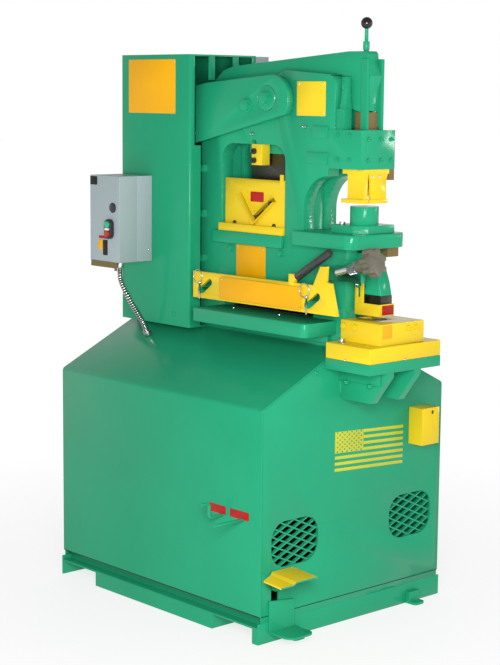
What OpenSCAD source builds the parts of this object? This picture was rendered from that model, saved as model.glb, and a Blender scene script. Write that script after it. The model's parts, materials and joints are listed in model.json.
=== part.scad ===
// Hydraulic ironworker: a rocking arm between two thick frame plates drives a punch at the throat
// and a shear slide with angle, flat-bar and notching blades, on a sheet-metal power cabinet.
// Millimetres. +X towards the punch end, -Y the operator's side, +Z up, origin on the floor.

/* [Cabinet] */
// Length of the cabinet
cab_l = 952; // [930:1:980]
// Width of the cabinet
cab_w = 762; // [740:1:790]
// Height of the shoulder where the sloped top begins
shoulder_z = 684; // [660:1:710]
// Slope of the cabinet top, degrees
top_slope = 26; // [24:0.5:27]
// Width of the flat deck that carries the frame
deck_w = 160; // [150:1:170]
// Thickness of the deck plate
deck_t = 12; // [10:1:16]
// Thickness of the cabinet sheet
sheet = 5; // [4:0.5:6]
// Width of the vent openings
vent_w = 188; // [170:1:200]
// Height of the vent openings
vent_h = 135; // [125:1:145]
// Height of the vent centres above the floor
vent_z = 283; // [260:1:300]
// Distance between the vent centres
vent_pitch = 492; // [470:1:500]
// Long pitch of the expanded metal
mesh_l = 58; // [50:0.2:64]
// Short pitch of the expanded metal
mesh_s = 26; // [22:0.2:30]
// Strand width of the expanded metal
mesh_strand = 4.5; // [3.5:0.1:5.5]

/* [Base] */
// Height of the panels' lower edge
base_h = 81; // [76:1:86]
// Height of the end skirts
skirt_h = 62; // [58:1:66]
// Clear height of the fork pockets
fork_h = 44; // [40:1:50]
// Clear width of the fork pockets
fork_w = 175; // [160:1:185]
// Base plate thickness
base_t = 6; // [5:0.5:8]
// Inset of the recessed web above the base
web_inset = 25; // [20:1:30]
// Reach of the anchor feet beyond the end panels
foot_reach = 42; // [38:1:48]
// Thickness of the anchor feet
foot_t = 8; // [6:1:10]
// Width of an anchor foot
foot_w = 45; // [40:1:50]
// Distance between anchor holes across the machine
anchor_pitch = 516; // [500:1:530]
// Diameter of the anchor holes
anchor_d = 12; // [10:1:14]
// Reach of the shelf under the foot pedal
step_reach = 94; // [86:1:100]
// Width of that shelf
step_w = 100; // [90:1:105]

/* [Main frame] */
// Thickness of each frame plate
plate_t = 45; // [42:0.5:48]
// Gap between the frame plates
frame_gap = 48; // [46:0.5:52]
// Rear edge of the frame plates
col_x = -155; // [-160:1:-150]
// Left edge of the window
win_x = -57; // [-62:1:-52]
// Length of the window
win_l = 286; // [276:1:290]
// Window sill height above the deck
win_h0 = 313; // [308:1:318]
// Window height
win_h = 271; // [262:1:276]
// Radius of the window's upper corners
win_r = 50; // [40:1:60]
// Back wall of the throat
throat_x = 310; // [306:1:316]
// Radius of the throat's upper corner
throat_r = 100; // [90:1:105]
// Top of the throat above the deck
throat_h = 499; // [494:1:503]
// Front of the lower jaw
jaw_x = 490; // [482:1:496]
// Height of the upper front corner above the deck
nose_top_h = 791; // [780:1:800]

/* [Arm] */
// Main pivot, along the machine
pivot_x = 168; // [166:0.5:170]
// Main pivot height above the deck
pivot_h = 723; // [721:0.5:725]
// Radius of the main pivot pin
pin_r = 38; // [34:0.5:42]
// Wall of the pivot bush
bush_t = 10; // [8:0.5:12]
// Side clearance of the sliding pieces between the frame plates
slide_gap = 0.5; // [0.3:0.1:0.8]
// Running clearance of shafts in their bores
run_gap = 0.05; // [0.03:0.01:0.08]
// Thickness of the pivot cheeks
cheek_t = 25; // [20:1:28]
// Punch axis, along the machine
punch_x = 493; // [490:1:496]
// Radius of the punch ram
ram_r = 35; // [32:0.5:36]

/* [Tool stations] */
// Die table top above the deck
table_h = 337; // [333:1:341]
// Thickness of the die table
table_t = 42; // [38:1:46]
// Width of the die table
table_w = 236; // [220:1:244]
// Radius of the die block
die_r = 42; // [38:1:45]
// Bar table top above the deck
bar_h = 80; // [76:1:84]
// Thickness of the bar table
bar_t = 42; // [38:1:46]
// Reach of the bar table from the frame
bar_reach = 131; // [120:1:138]
// Length of the flat-bar blades
blade_l = 356; // [340:1:360]
// Thickness of the shear blades
blade_t = 25; // [22:0.5:26]
// Tilt of the angle-shear notch, degrees
vee_tilt = 7; // [4:1:10]
// Thickness of the bar holder
holder_t = 12; // [10:0.5:14]
// Angle of the holder's slots, degrees
slot_angle = 37; // [34:1:40]
// Travel of the holder along its slots
slot_travel = 42; // [36:1:44]
// Distance between the holder posts
post_pitch = 474; // [468:1:480]
// Radius of the holder posts
post_r = 11; // [10:0.5:12]
// Top of the notcher's die block above the deck
coper_h = 91; // [88:1:94]
// Width of the notcher's table
coper_w = 298; // [280:1:310]
// Thickness of the notcher's table
coper_t = 46; // [42:1:50]

/* [Housing and controls] */
// Length of the cylinder housing
house_l = 345; // [335:1:350]
// Width of the cylinder housing
house_w = 280; // [270:1:300]
// Height of the cylinder housing above the deck
house_h = 855; // [845:1:870]
// Radius of the hydraulic cylinder
barrel_r = 70; // [64:1:76]
// Radius of the piston rod
rod_r = 30; // [26:1:34]
// Starter box width
start_w = 152; // [145:1:158]
// Starter box height
start_h = 274; // [264:1:284]
// Starter box depth
start_d = 133; // [125:1:140]
// Radius of the lever's ball
ball_r = 17; // [15:0.5:19]
// Radius of the star knob
knob_r = 43; // [38:1:46]
// Width of the foot pedal's tread
pedal_w = 147; // [140:1:155]

/* [Hidden] */
$fn = 48;
eps = 0.01;
seat_gap = 0.3;
green = [0.15, 0.60, 0.44];
yellow = [0.94, 0.80, 0.14];
steel = [0.62, 0.64, 0.66];
dark_steel = [0.25, 0.22, 0.18];
black = [0.10, 0.10, 0.10];
grey = [0.68, 0.72, 0.74];
red = [0.80, 0.12, 0.08];

// Cabinet planes
cx = cab_l / 2;
cy = cab_w / 2;
dy = deck_w / 2;
rise = tan(top_slope);
deck_z = shoulder_z + (cy - dy) * rise;
skin_z = sheet / cos(top_slope);

// Frame planes
gy = frame_gap / 2;
fy = gy + plate_t;
slide_y = gy - slide_gap;
win_x1 = win_x + win_l;
win_z0 = deck_z + win_h0;
win_z1 = win_z0 + win_h;
throat_z = deck_z + throat_h;
table_z = deck_z + table_h;
table_z0 = table_z - table_t;
block_x = throat_x + throat_r;
block_z0 = throat_z + 24;
block_z1 = block_z0 + 112;
block_x1 = punch_x + 49;
block_y = fy + 2;
nose_x = block_x + 25;
nose_z = deck_z + nose_top_h;
pivot_z = deck_z + pivot_h;

// Rocking arm
arm_y = slide_y;
nose_pad_r = 25;
nose_pad_z = pivot_z - 37;
slide_pad_r = 20;
slide_pad_x = pivot_x + 207;
arm_under_z = pivot_z - 74;
heel_x = pivot_x - 468;
heel_z = pivot_z - 34;
heel_r = 22;
arm_top_z = pivot_z + 136;
lever_x = punch_x - 5;
lever_z = arm_top_z - 18;
lever_pin_r = 8;
lever_eye = 16;

// Bar shear
bar_z = deck_z + bar_h;
bar_x0 = -20;
bar_x1 = bar_x0 + blade_l;
bar_seat = 30;
slot_z0 = bar_z - bar_seat;
bar_gap_z = bar_z + 40;
slide_z0 = bar_z + 50;
upper_blade_drop = 30;
blade_rake = 6;

// Bar holder, clear of the housing's side, and its screw
holder_y = -house_w / 2 - 5;
holder_y0 = holder_y - holder_t;
post_x = -46;
post_z = bar_z + 52;
holder_z0 = bar_z + 25;
screw_pos = [post_x + post_pitch + 80, holder_y - holder_t / 2, post_z + 94];
screw_tilt = 16;
screw_r = 11;
screw_tip = 30;
screw_boss = [82, 108];

// Notcher
coper_z = deck_z + coper_h;
coper_block_t = 62;
coper_table_z = coper_z - coper_block_t;
coper_plate_z = coper_table_z - coper_t;
coper_plate_t = 31;
coper_x0 = jaw_x + 1;
coper_x1 = coper_x0 + 177;
coper_die_x1 = coper_x1 - 14;
notch_x0 = coper_x0 + 14;
notch_x1 = notch_x0 + 82;
notch_z = coper_z + 18;
notch_t = 52;
notch_gap = 2;
insert_t = 12;
guard_t = 5;
guard_y = -gy - 16;

// Angle shear notch
vee_x = 92;
vee_z = win_z0 + 30;
vee_gap = 17;
vee_leg = 112;
shelf_t = 24;
slide_top_z = win_z1 - 30;
slide_bar_z1 = slide_top_z + 55;

// Housing
house_x0 = -cx + 1;
house_x1 = house_x0 + house_l;
house_y = house_w / 2;
house_z1 = deck_z + house_h;
barrel_z1 = deck_z + 560;
gland_t = 50;
bore_r = barrel_r - 13;
yoke_z = heel_z - 55;

// Starter box
start_x1 = house_x0 + 159;
start_x0 = start_x1 - start_w;
start_z0 = deck_z + 199;
start_z1 = start_z0 + start_h;
start_seam_y = -house_y - 61;
start_y0 = -house_y - start_d;
bezel_t = 14;
bezel_x = start_x1 - 44;
bezel_z = start_z0 + 106;
button_r = 11;
button_pitch = 29;

// Base, and the shelf under the pedal
base_y = cy + 7;
step_z = 28;
step_y = -cy + 81;

// Foot pedal on a pin inside the cabinet
pedal_pivot_x = cx - 50;
pedal_pivot_z = 161;
pedal_pin_r = 6;
pedal_y0 = -cy - 16;
pedal_arm_y = -cy + 56;
pedal_arm_w = 22;
pedal_tilt = 4;

// Flexible conduit: hand-picked path from the starter's fitting to the cabinet's fitting, measured from
// the housing's near rear edge at the height of the starter's underside
conduit_r = 9;
conduit_bore_r = 5.5;
conduit_groove = 1.6;
conduit_ribs = 40;
conduit_path = [
    [140, -115, -17.8], [140, -115, -26.8], [140, -115, -35.8], [140.5, -114, -52.8], [143, -109.5, -69.8],
    [147, -102.5, -87.8], [152, -94, -106.8], [156.5, -85, -125.8], [160.5, -76, -142.8], [164, -67, -158.8],
    [167, -58, -174.3], [169, -50, -187.8], [170, -42.5, -201.3], [170, -37.3, -212], [170, -32, -222.8]
];
conduit_route = [for (p = conduit_path) [house_x0, -house_y, start_z0] + p];

// Plain shapes

// Box given by its limits along each axis
module block(x, y, z) {
    translate([x[0], y[0], z[0]]) cube([x[1] - x[0], y[1] - y[0], z[1] - z[0]]);
}

// Outline drawn in X and Z, standing between two Y planes
module upright(y0, y1) {
    translate([0, y1, 0]) rotate([90, 0, 0]) linear_extrude(y1 - y0) children();
}

// Outline drawn in Y and Z, standing between two X planes
module across(x0, x1) {
    translate([x0, 0, 0]) rotate([90, 0, 90]) linear_extrude(x1 - x0) children();
}

// Outline drawn in X and Y, lying between two heights
module level(z0, z1) {
    translate([0, 0, z0]) linear_extrude(z1 - z0) children();
}

// Round bar along Y
module bar_y(x, z, r, y0, y1) {
    translate([x, y1, z]) rotate([90, 0, 0]) cylinder(r = r, h = y1 - y0);
}

// Round bar along X
module bar_x(y, z, r, x0, x1) {
    translate([x0, y, z]) rotate([0, 90, 0]) cylinder(r = r, h = x1 - x0);
}

// Flat rectangle given by two corners
module area(a, b) {
    translate(a) square(b - a);
}

// Rectangle with round corners
module round_area(a, b, r) {
    area([a[0] + r, a[1]], [b[0] - r, b[1]]);
    area([a[0], a[1] + r], [b[0], b[1] - r]);
    for (x = [a[0] + r, b[0] - r], y = [a[1] + r, b[1] - r])
        translate([x, y]) circle(r);
}

// Waste of an outside corner rounded to r, the corner at p and the body towards [sx, sy]
module corner_waste(p, r, sx, sy) {
    difference() {
        translate([min(p[0], p[0] + sx * r) - (sx > 0 ? 1 : 0), min(p[1], p[1] + sy * r) - (sy > 0 ? 1 : 0)])
            square(r + 1);
        translate([p[0] + sx * r, p[1] + sy * r]) circle(r);
    }
}

// Slot between two end centres
module slot_area(p, q, r) {
    d = q - p;
    translate(p) rotate(atan2(d[1], d[0])) translate([0, -r]) square([norm(d), 2 * r]);
    for (c = [p, q]) translate(c) circle(r);
}

// Hexagon head with its washer, standing along -Y from the plane y
module hex_head_y(x, z, y, r) {
    bar_y(x, z, r * 1.15, y - 3, y);
    translate([x, y - 3, z]) rotate([90, 0, 0]) cylinder(r = r, h = r * 0.7, $fn = 6);
}

// Cap screw head with a hexagon socket, along +Z from the origin
module cap_head(r) {
    difference() {
        cylinder(r = r, h = r * 0.9);
        translate([0, 0, r * 0.4]) cylinder(r = r * 0.5, h = r, $fn = 6);
    }
}

// Round grip with a turned-down end, along +Z
module grip(r, h) {
    rim = r / 2;
    rotate_extrude()
        polygon([[0, 0], [r, 0], [r, h - rim], [r - 0.3 * rim, h - 0.3 * rim], [r - rim, h], [0, h]]);
}

// Both sides of the machine, the second mirrored across the middle plane
module both_sides() {
    children();
    mirror([0, 1, 0]) children();
}

// Cabinet and base

// Pan on skirts, with two fork pockets that run through from side to side
module base_frame() {
    x_front = cx - 27;
    x_rear = -cx + base_t;
    core = [x_rear + fork_w, x_front - fork_w];
    color(green) {
        block([-cx, cx], [-base_y, base_y], [fork_h, fork_h + base_t]);
        block(core, [-base_y, base_y], [0, base_t]);
        for (x = [-cx, cx - base_t]) block([x, x + base_t], [-base_y, base_y], [0, skirt_h]);
        block([x_front, x_front + base_t], [-base_y, base_y], [0, fork_h + eps]);
        for (x = [core[0], core[1] - base_t]) block([x, x + base_t], [-base_y, base_y], [0, fork_h + eps]);
        both_sides() {
            block([x_front, cx], [-base_y, -base_y + base_t], [0, fork_h + eps]);
            block(core, [-base_y, -base_y + base_t], [0, fork_h + eps]);
            block([-cx + base_t, cx - base_t], [-cy + web_inset, -cy + web_inset + base_t],
                  [fork_h + base_t - eps, base_h]);
        }
    }
}

// Floor foot with one hole, on a block of height h against the end skirt
module anchor_foot(h) {
    half = foot_w / 2;
    front = cx + foot_reach;
    difference() {
        union() {
            level(0, foot_t)
                difference() {
                    area([cx, -half], [front, half]);
                    corner_waste([front, -half], 12, -1, 1);
                    corner_waste([front, half], 12, -1, -1);
                }
            block([cx, cx + 17], [-half, half], [0, h]);
        }
        translate([front - 12, 0, -1]) cylinder(d = anchor_d, h = foot_t + 2);
    }
}

// Shelf with round front corners on an upright plate that covers the lower half of the pedal's slot
module pedal_shelf() {
    y = [step_y - step_w / 2, step_y + step_w / 2];
    front = cx + step_reach;
    across(cx, cx + base_t)
        polygon([[y[0], step_z], [y[1], step_z], [y[1], step_z + 86], [y[0], step_z + 97]]);
    level(step_z, step_z + base_t)
        difference() {
            area([cx, y[0]], [front, y[1]]);
            corner_waste([front, y[0]], 32, -1, 1);
            corner_waste([front, y[1]], 24, -1, -1);
        }
}

// Four floor feet and the shelf
module anchor_brackets() {
    color(green) {
        for (end = [0, 180]) rotate(end) translate([0, anchor_pitch / 2, 0]) anchor_foot(38);
        translate([0, -anchor_pitch / 2, 0]) anchor_foot(step_z + 1);
        rotate(180) translate([0, -anchor_pitch / 2, 0]) anchor_foot(38);
        pedal_shelf();
    }
}

// Side panel bent at the shoulder into the sloped top, with a return flange on the base web
module side_panel() {
    across(-cx, cx)
        polygon([[-cy, base_h], [-cy, shoulder_z], [-dy, deck_z], [-dy, deck_z - skin_z],
                 [-cy + sheet, shoulder_z + sheet * rise - skin_z], [-cy + sheet, base_h]]);
    block([-cx + sheet, cx - sheet], [-cy + sheet - eps, -cy + web_inset + base_t],
          [base_h, base_h + sheet]);
}

module front_panel() {
    color(green) side_panel();
}

module rear_panel() {
    color(green) mirror([0, 1, 0]) side_panel();
}

// House-shaped end that fits inside the bent side panels and under the deck
module end_outline() {
    shoulder = shoulder_z + sheet * rise - skin_z;
    half = [[cy - sheet, skirt_h], [cy - sheet, shoulder], [dy, deck_z - skin_z], [dy, deck_z - deck_t]];
    mirrored = [for (i = [3:-1:0]) [-half[i][0], half[i][1]]];
    polygon(concat(half, mirrored));
}

module punch_end_panel() {
    half = [vent_w / 2, vent_h / 2];
    slot_y = [pedal_arm_y - 14, pedal_arm_y + 14];
    ear_y = pedal_arm_w / 2 + 2;
    color(green) {
        across(cx - sheet, cx)
            difference() {
                end_outline();
                for (y = [-vent_pitch / 2, vent_pitch / 2])
                    round_area([y - half[0], vent_z - half[1]], [y + half[0], vent_z + half[1]], 54);
                round_area([slot_y[0], pedal_pivot_z - 53], [slot_y[1], pedal_pivot_z + 10], 6);
            }
        for (y = [pedal_arm_y - ear_y - 6, pedal_arm_y + ear_y])
            difference() {
                block([pedal_pivot_x - 12, cx - sheet + eps], [y, y + 6],
                      [pedal_pivot_z - 12, pedal_pivot_z + 12]);
                bar_y(pedal_pivot_x, pedal_pivot_z, pedal_pin_r + run_gap, y - 1, y + 7);
            }
    }
}

module cylinder_end_panel() {
    color(green) across(-cx, -cx + sheet) end_outline();
}

module deck_plate() {
    color(green)
        difference() {
            block([-cx, cx], [-dy, dy], [deck_z - deck_t, deck_z]);
            for (y = [-30, 30])
                translate([heel_x - 110, y, deck_z - deck_t - 1]) cylinder(r = 16, h = deck_t + 2);
        }
}

// Expanded metal behind one vent opening
module vent_net() {
    half = [vent_w / 2 + 9, vent_h / 2 + 9];
    hole = [mesh_l / 2 - mesh_strand * 1.2, mesh_s / 2 - mesh_strand * 0.55];
    columns = ceil(half[0] / (mesh_l / 2));
    rows = ceil(half[1] / (mesh_s / 2));
    difference() {
        area(-half, half);
        intersection() {
            area([4 - half[0], 4 - half[1]], [half[0] - 4, half[1] - 4]);
            for (i = [-columns:columns], j = [-rows:rows])
                if ((i + j) % 2 == 0)
                    translate([i * mesh_l / 2, j * mesh_s / 2])
                        polygon([[-hole[0], 0], [0, -hole[1]], [hole[0], 0], [0, hole[1]]]);
        }
    }
}

module vent_grilles() {
    color(green)
        for (y = [-vent_pitch / 2, vent_pitch / 2])
            across(cx - sheet - 3, cx - sheet) translate([y, vent_z]) vent_net();
}

// Main frame

// Waste of the throat behind the guide block
module throat_waste() {
    mid = throat_z - throat_r;
    area([throat_x, table_z0], [block_x + 1, mid]);
    translate([block_x, mid]) circle(throat_r, $fn = 96);
}

// Waste of the window with round upper corners and a relief over the hold-down block
module window_waste() {
    area([win_x, win_z0], [win_x1, win_z1 - win_r]);
    area([win_x + win_r, win_z0], [win_x1 - win_r, win_z1]);
    for (x = [win_x + win_r, win_x1 - win_r]) translate([x, win_z1 - win_r]) circle(win_r);
    translate([vee_x - 5, win_z1]) circle(14);
}

module frame_plate() {
    crown = deck_z + 806;
    shoulder = deck_z + 769;
    upright(-fy, -gy)
        difference() {
            polygon([[col_x, deck_z], [jaw_x, deck_z], [jaw_x, table_z0], [block_x, table_z0],
                     [block_x, block_z1], [nose_x, block_z1], [nose_x, nose_z], [win_x1 - 7, crown],
                     [pivot_x + 12, crown - 19], [col_x + 55, shoulder], [col_x, shoulder - 40]]);
            throat_waste();
            window_waste();
            corner_waste([nose_x, nose_z], 25, -1, -1);
            area([bar_x0 - 20, slot_z0], [bar_x1 + 20, bar_gap_z]);
            translate([pivot_x, pivot_z]) circle(pin_r + run_gap);
        }
}

module frame_plate_near() {
    color(green) frame_plate();
}

module frame_plate_far() {
    color(green) mirror([0, 1, 0]) frame_plate();
}

// Filler column behind the window and filler bar on the deck, between the plates
module frame_spacers() {
    color(green) {
        block([col_x + 5, win_x - 13], [-gy, gy], [deck_z, win_z1 + 25]);
        block([win_x - 13, jaw_x - 5], [-gy, gy], [deck_z, slot_z0 - 8]);
    }
}

// Outer cheek with a round front end around the main pivot and a sloped lower edge
module pivot_cheek() {
    front = [pivot_x + 20, pivot_z - 5];
    round_r = 74;
    rear = col_x - 3;
    drop = 0.234;
    low = pivot_z - 143;
    upright(-fy - cheek_t, -fy)
        difference() {
            union() {
                polygon([[front[0], front[1] + round_r], [rear + 58, pivot_z + 46], [rear, pivot_z + 36],
                         [rear, low], [front[0], low]]);
                translate(front) circle(round_r, $fn = 96);
            }
            polygon([[rear - 1, low], [front[0] + 120, low + (front[0] + 121 - rear) * drop],
                     [front[0] + 120, low - 60], [rear - 1, low - 60]]);
            translate([pivot_x, pivot_z]) circle(pin_r + run_gap);
        }
}

module pivot_cheeks() {
    color(green) both_sides() pivot_cheek();
}

module pivot_pin() {
    end = fy + cheek_t;
    color(steel) bar_y(pivot_x, pivot_z, pin_r, -end, end);
}

// Hexagon bolts of the frame: pin keepers, cheek bolts, column bolts and shelf bolts
module frame_bolts() {
    color(green)
        both_sides() {
            hex_head_y(pivot_x, pivot_z, -fy - cheek_t, 19);
            hex_head_y(pivot_x - 84, pivot_z - 22, -fy - cheek_t, 19);
            for (h = [218, 360, 502]) hex_head_y(col_x + 16, deck_z + h, -fy, 12);
            for (x = [win_x + 46, win_x1 - 14]) hex_head_y(x, win_z0 - 54, -fy, 10);
        }
}

// Punch station

// Bored block on the front of the frame, with side keys, a lower lip and guides for the arm's nose
module punch_guide_block() {
    key_y = -fy - 6;
    step_z = block_z1 + 60;
    color(green) {
        difference() {
            union() {
                block([block_x, block_x1], [-block_y, block_y], [block_z0, block_z1]);
                block([punch_x + 12, block_x1], [52 + seat_gap, block_y - 1],
                      [block_z0 - 32, block_z0 + eps]);
                both_sides() {
                    block([nose_x + 1, punch_x - 28], [-fy + 3, -gy - 8], [block_z1 - eps, step_z]);
                    across(nose_x + 10, nose_x + 32)
                        polygon([[-fy + 7, step_z - eps], [-gy - 8, step_z - eps], [-gy - 13, step_z + 34],
                                 [-gy - 15, step_z + 90], [-fy + 16, step_z + 90], [-fy + 14, step_z + 34]]);
                    block([punch_x + 12, punch_x + 34], [-gy - 12, -gy - 1],
                          [block_z1 - eps, arm_top_z - 22]);
                }
            }
            translate([punch_x, 0, block_z0 - 1])
                cylinder(r = ram_r + run_gap, h = block_z1 - block_z0 + 10);
        }
        both_sides() {
            block([block_x - 86, block_x], [key_y, -fy], [block_z0 + 12, block_z0 + 44]);
            block([block_x - 63, block_x], [key_y, -fy], [block_z1 - 24, block_z1 + 8]);
        }
    }
}

// Stripper: a bored flange under the guide block, one leg at the near side and one in front of the punch
module stripper() {
    top = block_z0;
    foot = table_z + 88;
    front = punch_x + 47;
    leg_y = -ram_r - 2;
    color(yellow)
        difference() {
            union() {
                block([punch_x - 41, front], [-52, 52], [top - 14, top]);
                block([punch_x - 21, front], [leg_y - 14, leg_y], [foot, top - 14 + eps]);
                block([punch_x - 41, front + 3], [leg_y - 20, leg_y], [foot, foot + 12]);
                across(front - 10, front)
                    polygon([[-30, top - 14 + eps], [-24, top - 34], [-24, foot], [40, foot], [40, top - 34],
                             [46, top - 14 + eps]]);
                block([front - 10, front + 3], [-30, 44], [foot, foot + 12]);
            }
            translate([punch_x, 0, foot - 1]) cylinder(r = ram_r + 1, h = 120);
        }
}

module die_table() {
    half = table_w / 2;
    front = block_x1 + 15;
    color(green)
        difference() {
            union() {
                level(table_z0, table_z)
                    difference() {
                        area([throat_x, -half], [front, half]);
                        corner_waste([front, -half], 34, -1, 1);
                        corner_waste([front, half], 34, -1, -1);
                    }
                block([jaw_x - 50, front - 34], [fy + 1, half], [table_z0 - 31, table_z0 + eps]);
            }
            translate([punch_x, 0, table_z0 - 1]) cylinder(r = 16, h = table_t + 2);
        }
}

// Clamp plate under the die block
module die_holder() {
    color(green)
        level(table_z, table_z + 24)
            difference() {
                polygon([[punch_x - 73, -62], [punch_x + 13, -62], [punch_x + 50, -34], [punch_x + 50, 76],
                         [punch_x - 73, 76]]);
                translate([punch_x, 0]) circle(16);
            }
}

// Die block with its die insert
module die_block() {
    z0 = table_z + 24;
    z1 = table_z + 78;
    color(green)
        translate([punch_x, 0, z0])
            difference() {
                cylinder(r = die_r, h = z1 - z0);
                translate([0, 0, -1]) cylinder(r = 16, h = z1 - z0);
                translate([0, 0, z1 - z0 - 28]) cylinder(r = 25, h = 30);
            }
    color(steel)
        translate([punch_x, 0, z1 - 28])
            difference() {
                cylinder(r = 25 - run_gap, h = 28);
                translate([0, 0, -1]) cylinder(r = 11.4, h = 30);
            }
}

// Angle shear

module window_sill() {
    color(green) block([win_x - 29, win_x1 - 1], [-fy - 15, -fy], [win_z0 - 38, win_z0]);
}

module angle_table() {
    color(yellow) {
        block([win_x + 1, win_x1 - 1], [-fy - eps, -gy - 1], [win_z0, win_z0 + shelf_t]);
        block([win_x - 6, win_x1 - 1], [-fy - 9, -fy], [win_z0, win_z0 + shelf_t]);
    }
}

// The notch's own frame: its vertex at the origin, one leg along +X and one along +Z
module in_vee() {
    translate([vee_x, vee_z]) rotate(45 - vee_tilt) children();
}

// Yellow guard with the slot that takes the angle bar, and lips along the slot
module angle_guard() {
    y1 = -fy + 14;
    color(yellow) {
        upright(y1 - 5, y1)
            difference() {
                area([win_x + 7, win_z0 + shelf_t], [win_x1 - 1, win_z0 + 164]);
                in_vee() {
                    area([0, 0], [vee_leg, vee_gap]);
                    area([0, 0], [vee_gap, vee_leg]);
                }
            }
        upright(y1 - 21, y1 - 5 + eps)
            in_vee() {
                area([-3, -3], [vee_leg, 0]);
                area([-3, -3], [0, vee_leg]);
                area([vee_gap, vee_gap], [vee_leg, vee_gap + 3]);
                area([vee_gap, vee_gap], [vee_gap + 3, vee_leg]);
            }
        block([win_x1 - 28, win_x1 - 14], [y1 - 9, y1 - 5 + eps], [win_z0 + 150, win_z0 + 182]);
    }
}

module hold_down_block() {
    color(yellow) block([vee_x - 21, vee_x + 25], [-fy + 7, -gy - 4], [win_z1 - 64, win_z1]);
}

module rear_guard() {
    color(green) block([win_x - 23, win_x1 + 21], [fy, fy + 5], [win_z0 - 20, win_z1 + 14]);
}

// Flat-bar shear

module bar_table() {
    x1 = bar_x1 + 117;
    y0 = -fy - bar_reach;
    color(green)
        level(bar_z - bar_t, bar_z)
            difference() {
                area([bar_x0 - 20, y0], [x1, -fy]);
                corner_waste([x1, y0], 22, -1, 1);
            }
    color(green) block([bar_x0, x1 - 20], [-fy - 16, -fy], [bar_z - bar_t - 26, bar_z - bar_t + eps]);
}

// Lower flat-bar blade, lower angle blade and the notcher's blade inserts
module lower_blades() {
    color(steel) {
        block([bar_x0, bar_x1], [-gy - blade_t, -gy], [slot_z0, bar_z]);
        upright(-gy - blade_t, -gy - 1)
            difference() {
                area([win_x + 80, win_z0 + shelf_t], [win_x1 - 3, win_z0 + 130]);
                in_vee() area([0, 0], [200, 200]);
            }
        both_sides()
            block([notch_x0, notch_x1], [-slide_y - notch_gap - insert_t, -slide_y - notch_gap],
                  [coper_z - 24, coper_z]);
    }
}

// Outline of the bar holder with the tab that the screw pushes
module holder_outline() {
    left = post_x - 44;
    right = post_x + post_pitch + 113;
    z1 = holder_z0 + 82;
    polygon([[left, holder_z0], [right, holder_z0 + 3], [right - 26, z1 + 13], [right - 47, z1 + 17],
             [right - 44, z1 + 61], [right - 69, z1 + 59], [right - 97, z1 + 3], [left, z1]]);
}

// Inclined slot that hangs on one post, cut through the holder
module holder_slot(x) {
    translate([x, 0, post_z]) rotate([0, -slot_angle, 0])
        upright(holder_y0 - 1, holder_y + 1) slot_area([0, 0], [slot_travel, 0], post_r + seat_gap);
}

// Bar holder with its lifting handle: a square boss on the top edge and a grip that rises from it
module bar_holder() {
    mid = holder_y - holder_t / 2;
    boss = [post_x + post_pitch - 75, mid, holder_z0 + 76];
    color(yellow) {
        difference() {
            upright(holder_y0, holder_y) holder_outline();
            for (x = [post_x, post_x + post_pitch]) holder_slot(x);
        }
        translate(boss) block([-10, 10], [-8, 8], [0, 34]);
    }
    color(black)
        translate(boss + [0, 0, 14]) rotate([0, 58, 0]) {
            cylinder(r = 6, h = 30);
            translate([0, 0, 24]) grip(12, 158);
        }
}

// Along the screw, rising towards the knob
module along_screw() {
    translate(screw_pos) rotate([0, 90 - screw_tilt, 0]) children();
}

// Fixed mounts on the near plate: two posts for the holder, the screw's bracket, the notcher guard's stud
module holder_mounts() {
    guard_z = coper_z + 100;
    guard_x = notch_x0 + 10;
    color(green) {
        for (x = [post_x, post_x + post_pitch])
            bar_y(x, post_z, post_r, holder_y0 - 8, -fy);
        difference() {
            union() {
                block([jaw_x - 36, screw_pos[0] + 30], [holder_y + 9, -fy],
                      [screw_pos[2] - 18, screw_pos[2] + 18]);
                block([screw_pos[0] + 29, screw_pos[0] + 106], [holder_y + 9, holder_y + 27],
                      [screw_pos[2] - 18, screw_pos[2] + 38]);
                along_screw() {
                    translate([0, 0, screw_boss[0]]) cylinder(r = 17, h = screw_boss[1] - screw_boss[0]);
                    block([-14, 14], [0, 33], screw_boss);
                }
            }
            along_screw() translate([0, 0, screw_tip]) cylinder(r = screw_r + run_gap, h = 90);
        }
        block([jaw_x, guard_x + 12], [guard_y + guard_t + seat_gap, -gy - 2], [guard_z - 15, guard_z + 15]);
        bar_y(guard_x, guard_z, 5, guard_y - 1, -gy - 3);
        bar_y(guard_x, guard_z, 9, guard_y - 7, guard_y - seat_gap);
    }
}

// Screw with a seven-lobed knob that pushes the holder's tab
module star_knob() {
    hub = 112;
    disc = 160;
    lobes = 7;
    color(steel) along_screw() translate([0, 0, screw_tip]) cylinder(r = screw_r, h = hub - screw_tip + eps);
    color(black)
        along_screw()
            difference() {
                union() {
                    translate([0, 0, hub]) cylinder(r1 = 16, r2 = 24, h = disc - hub + 2);
                    translate([0, 0, disc]) cylinder(r = knob_r - 9, h = 26);
                    for (i = [0:lobes - 1])
                        rotate(i * 360 / lobes) translate([knob_r - 9, 0, disc]) cylinder(r = 9, h = 26);
                }
                for (i = [0:lobes - 1])
                    rotate((i + 0.5) * 360 / lobes)
                        translate([knob_r - 1, 0, disc - 1]) cylinder(r = 8, h = 28);
            }
}

// Notching station

// Support plate on two gussets that stand on the end panel
module coper_support() {
    half = coper_w / 2;
    z1 = coper_plate_z;
    z0 = z1 - coper_plate_t;
    gusset_z = shoulder_z;
    color(green)
        difference() {
            union() {
                block([coper_x0, coper_x1], [-half, half], [z0, z1]);
                both_sides()
                    upright(-fy - 1, -gy - 20)
                        polygon([[cx, z0 + eps], [coper_x1 - 4, z0 + eps], [coper_x1 - 4, z0 - 14],
                                 [coper_x1 - 68, gusset_z], [cx + 12, gusset_z], [cx, gusset_z + 12]]);
            }
            block([notch_x0 + 4, notch_x1 - 4], [-slide_y, slide_y], [z0 - 1, z1 + 1]);
        }
}

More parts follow.
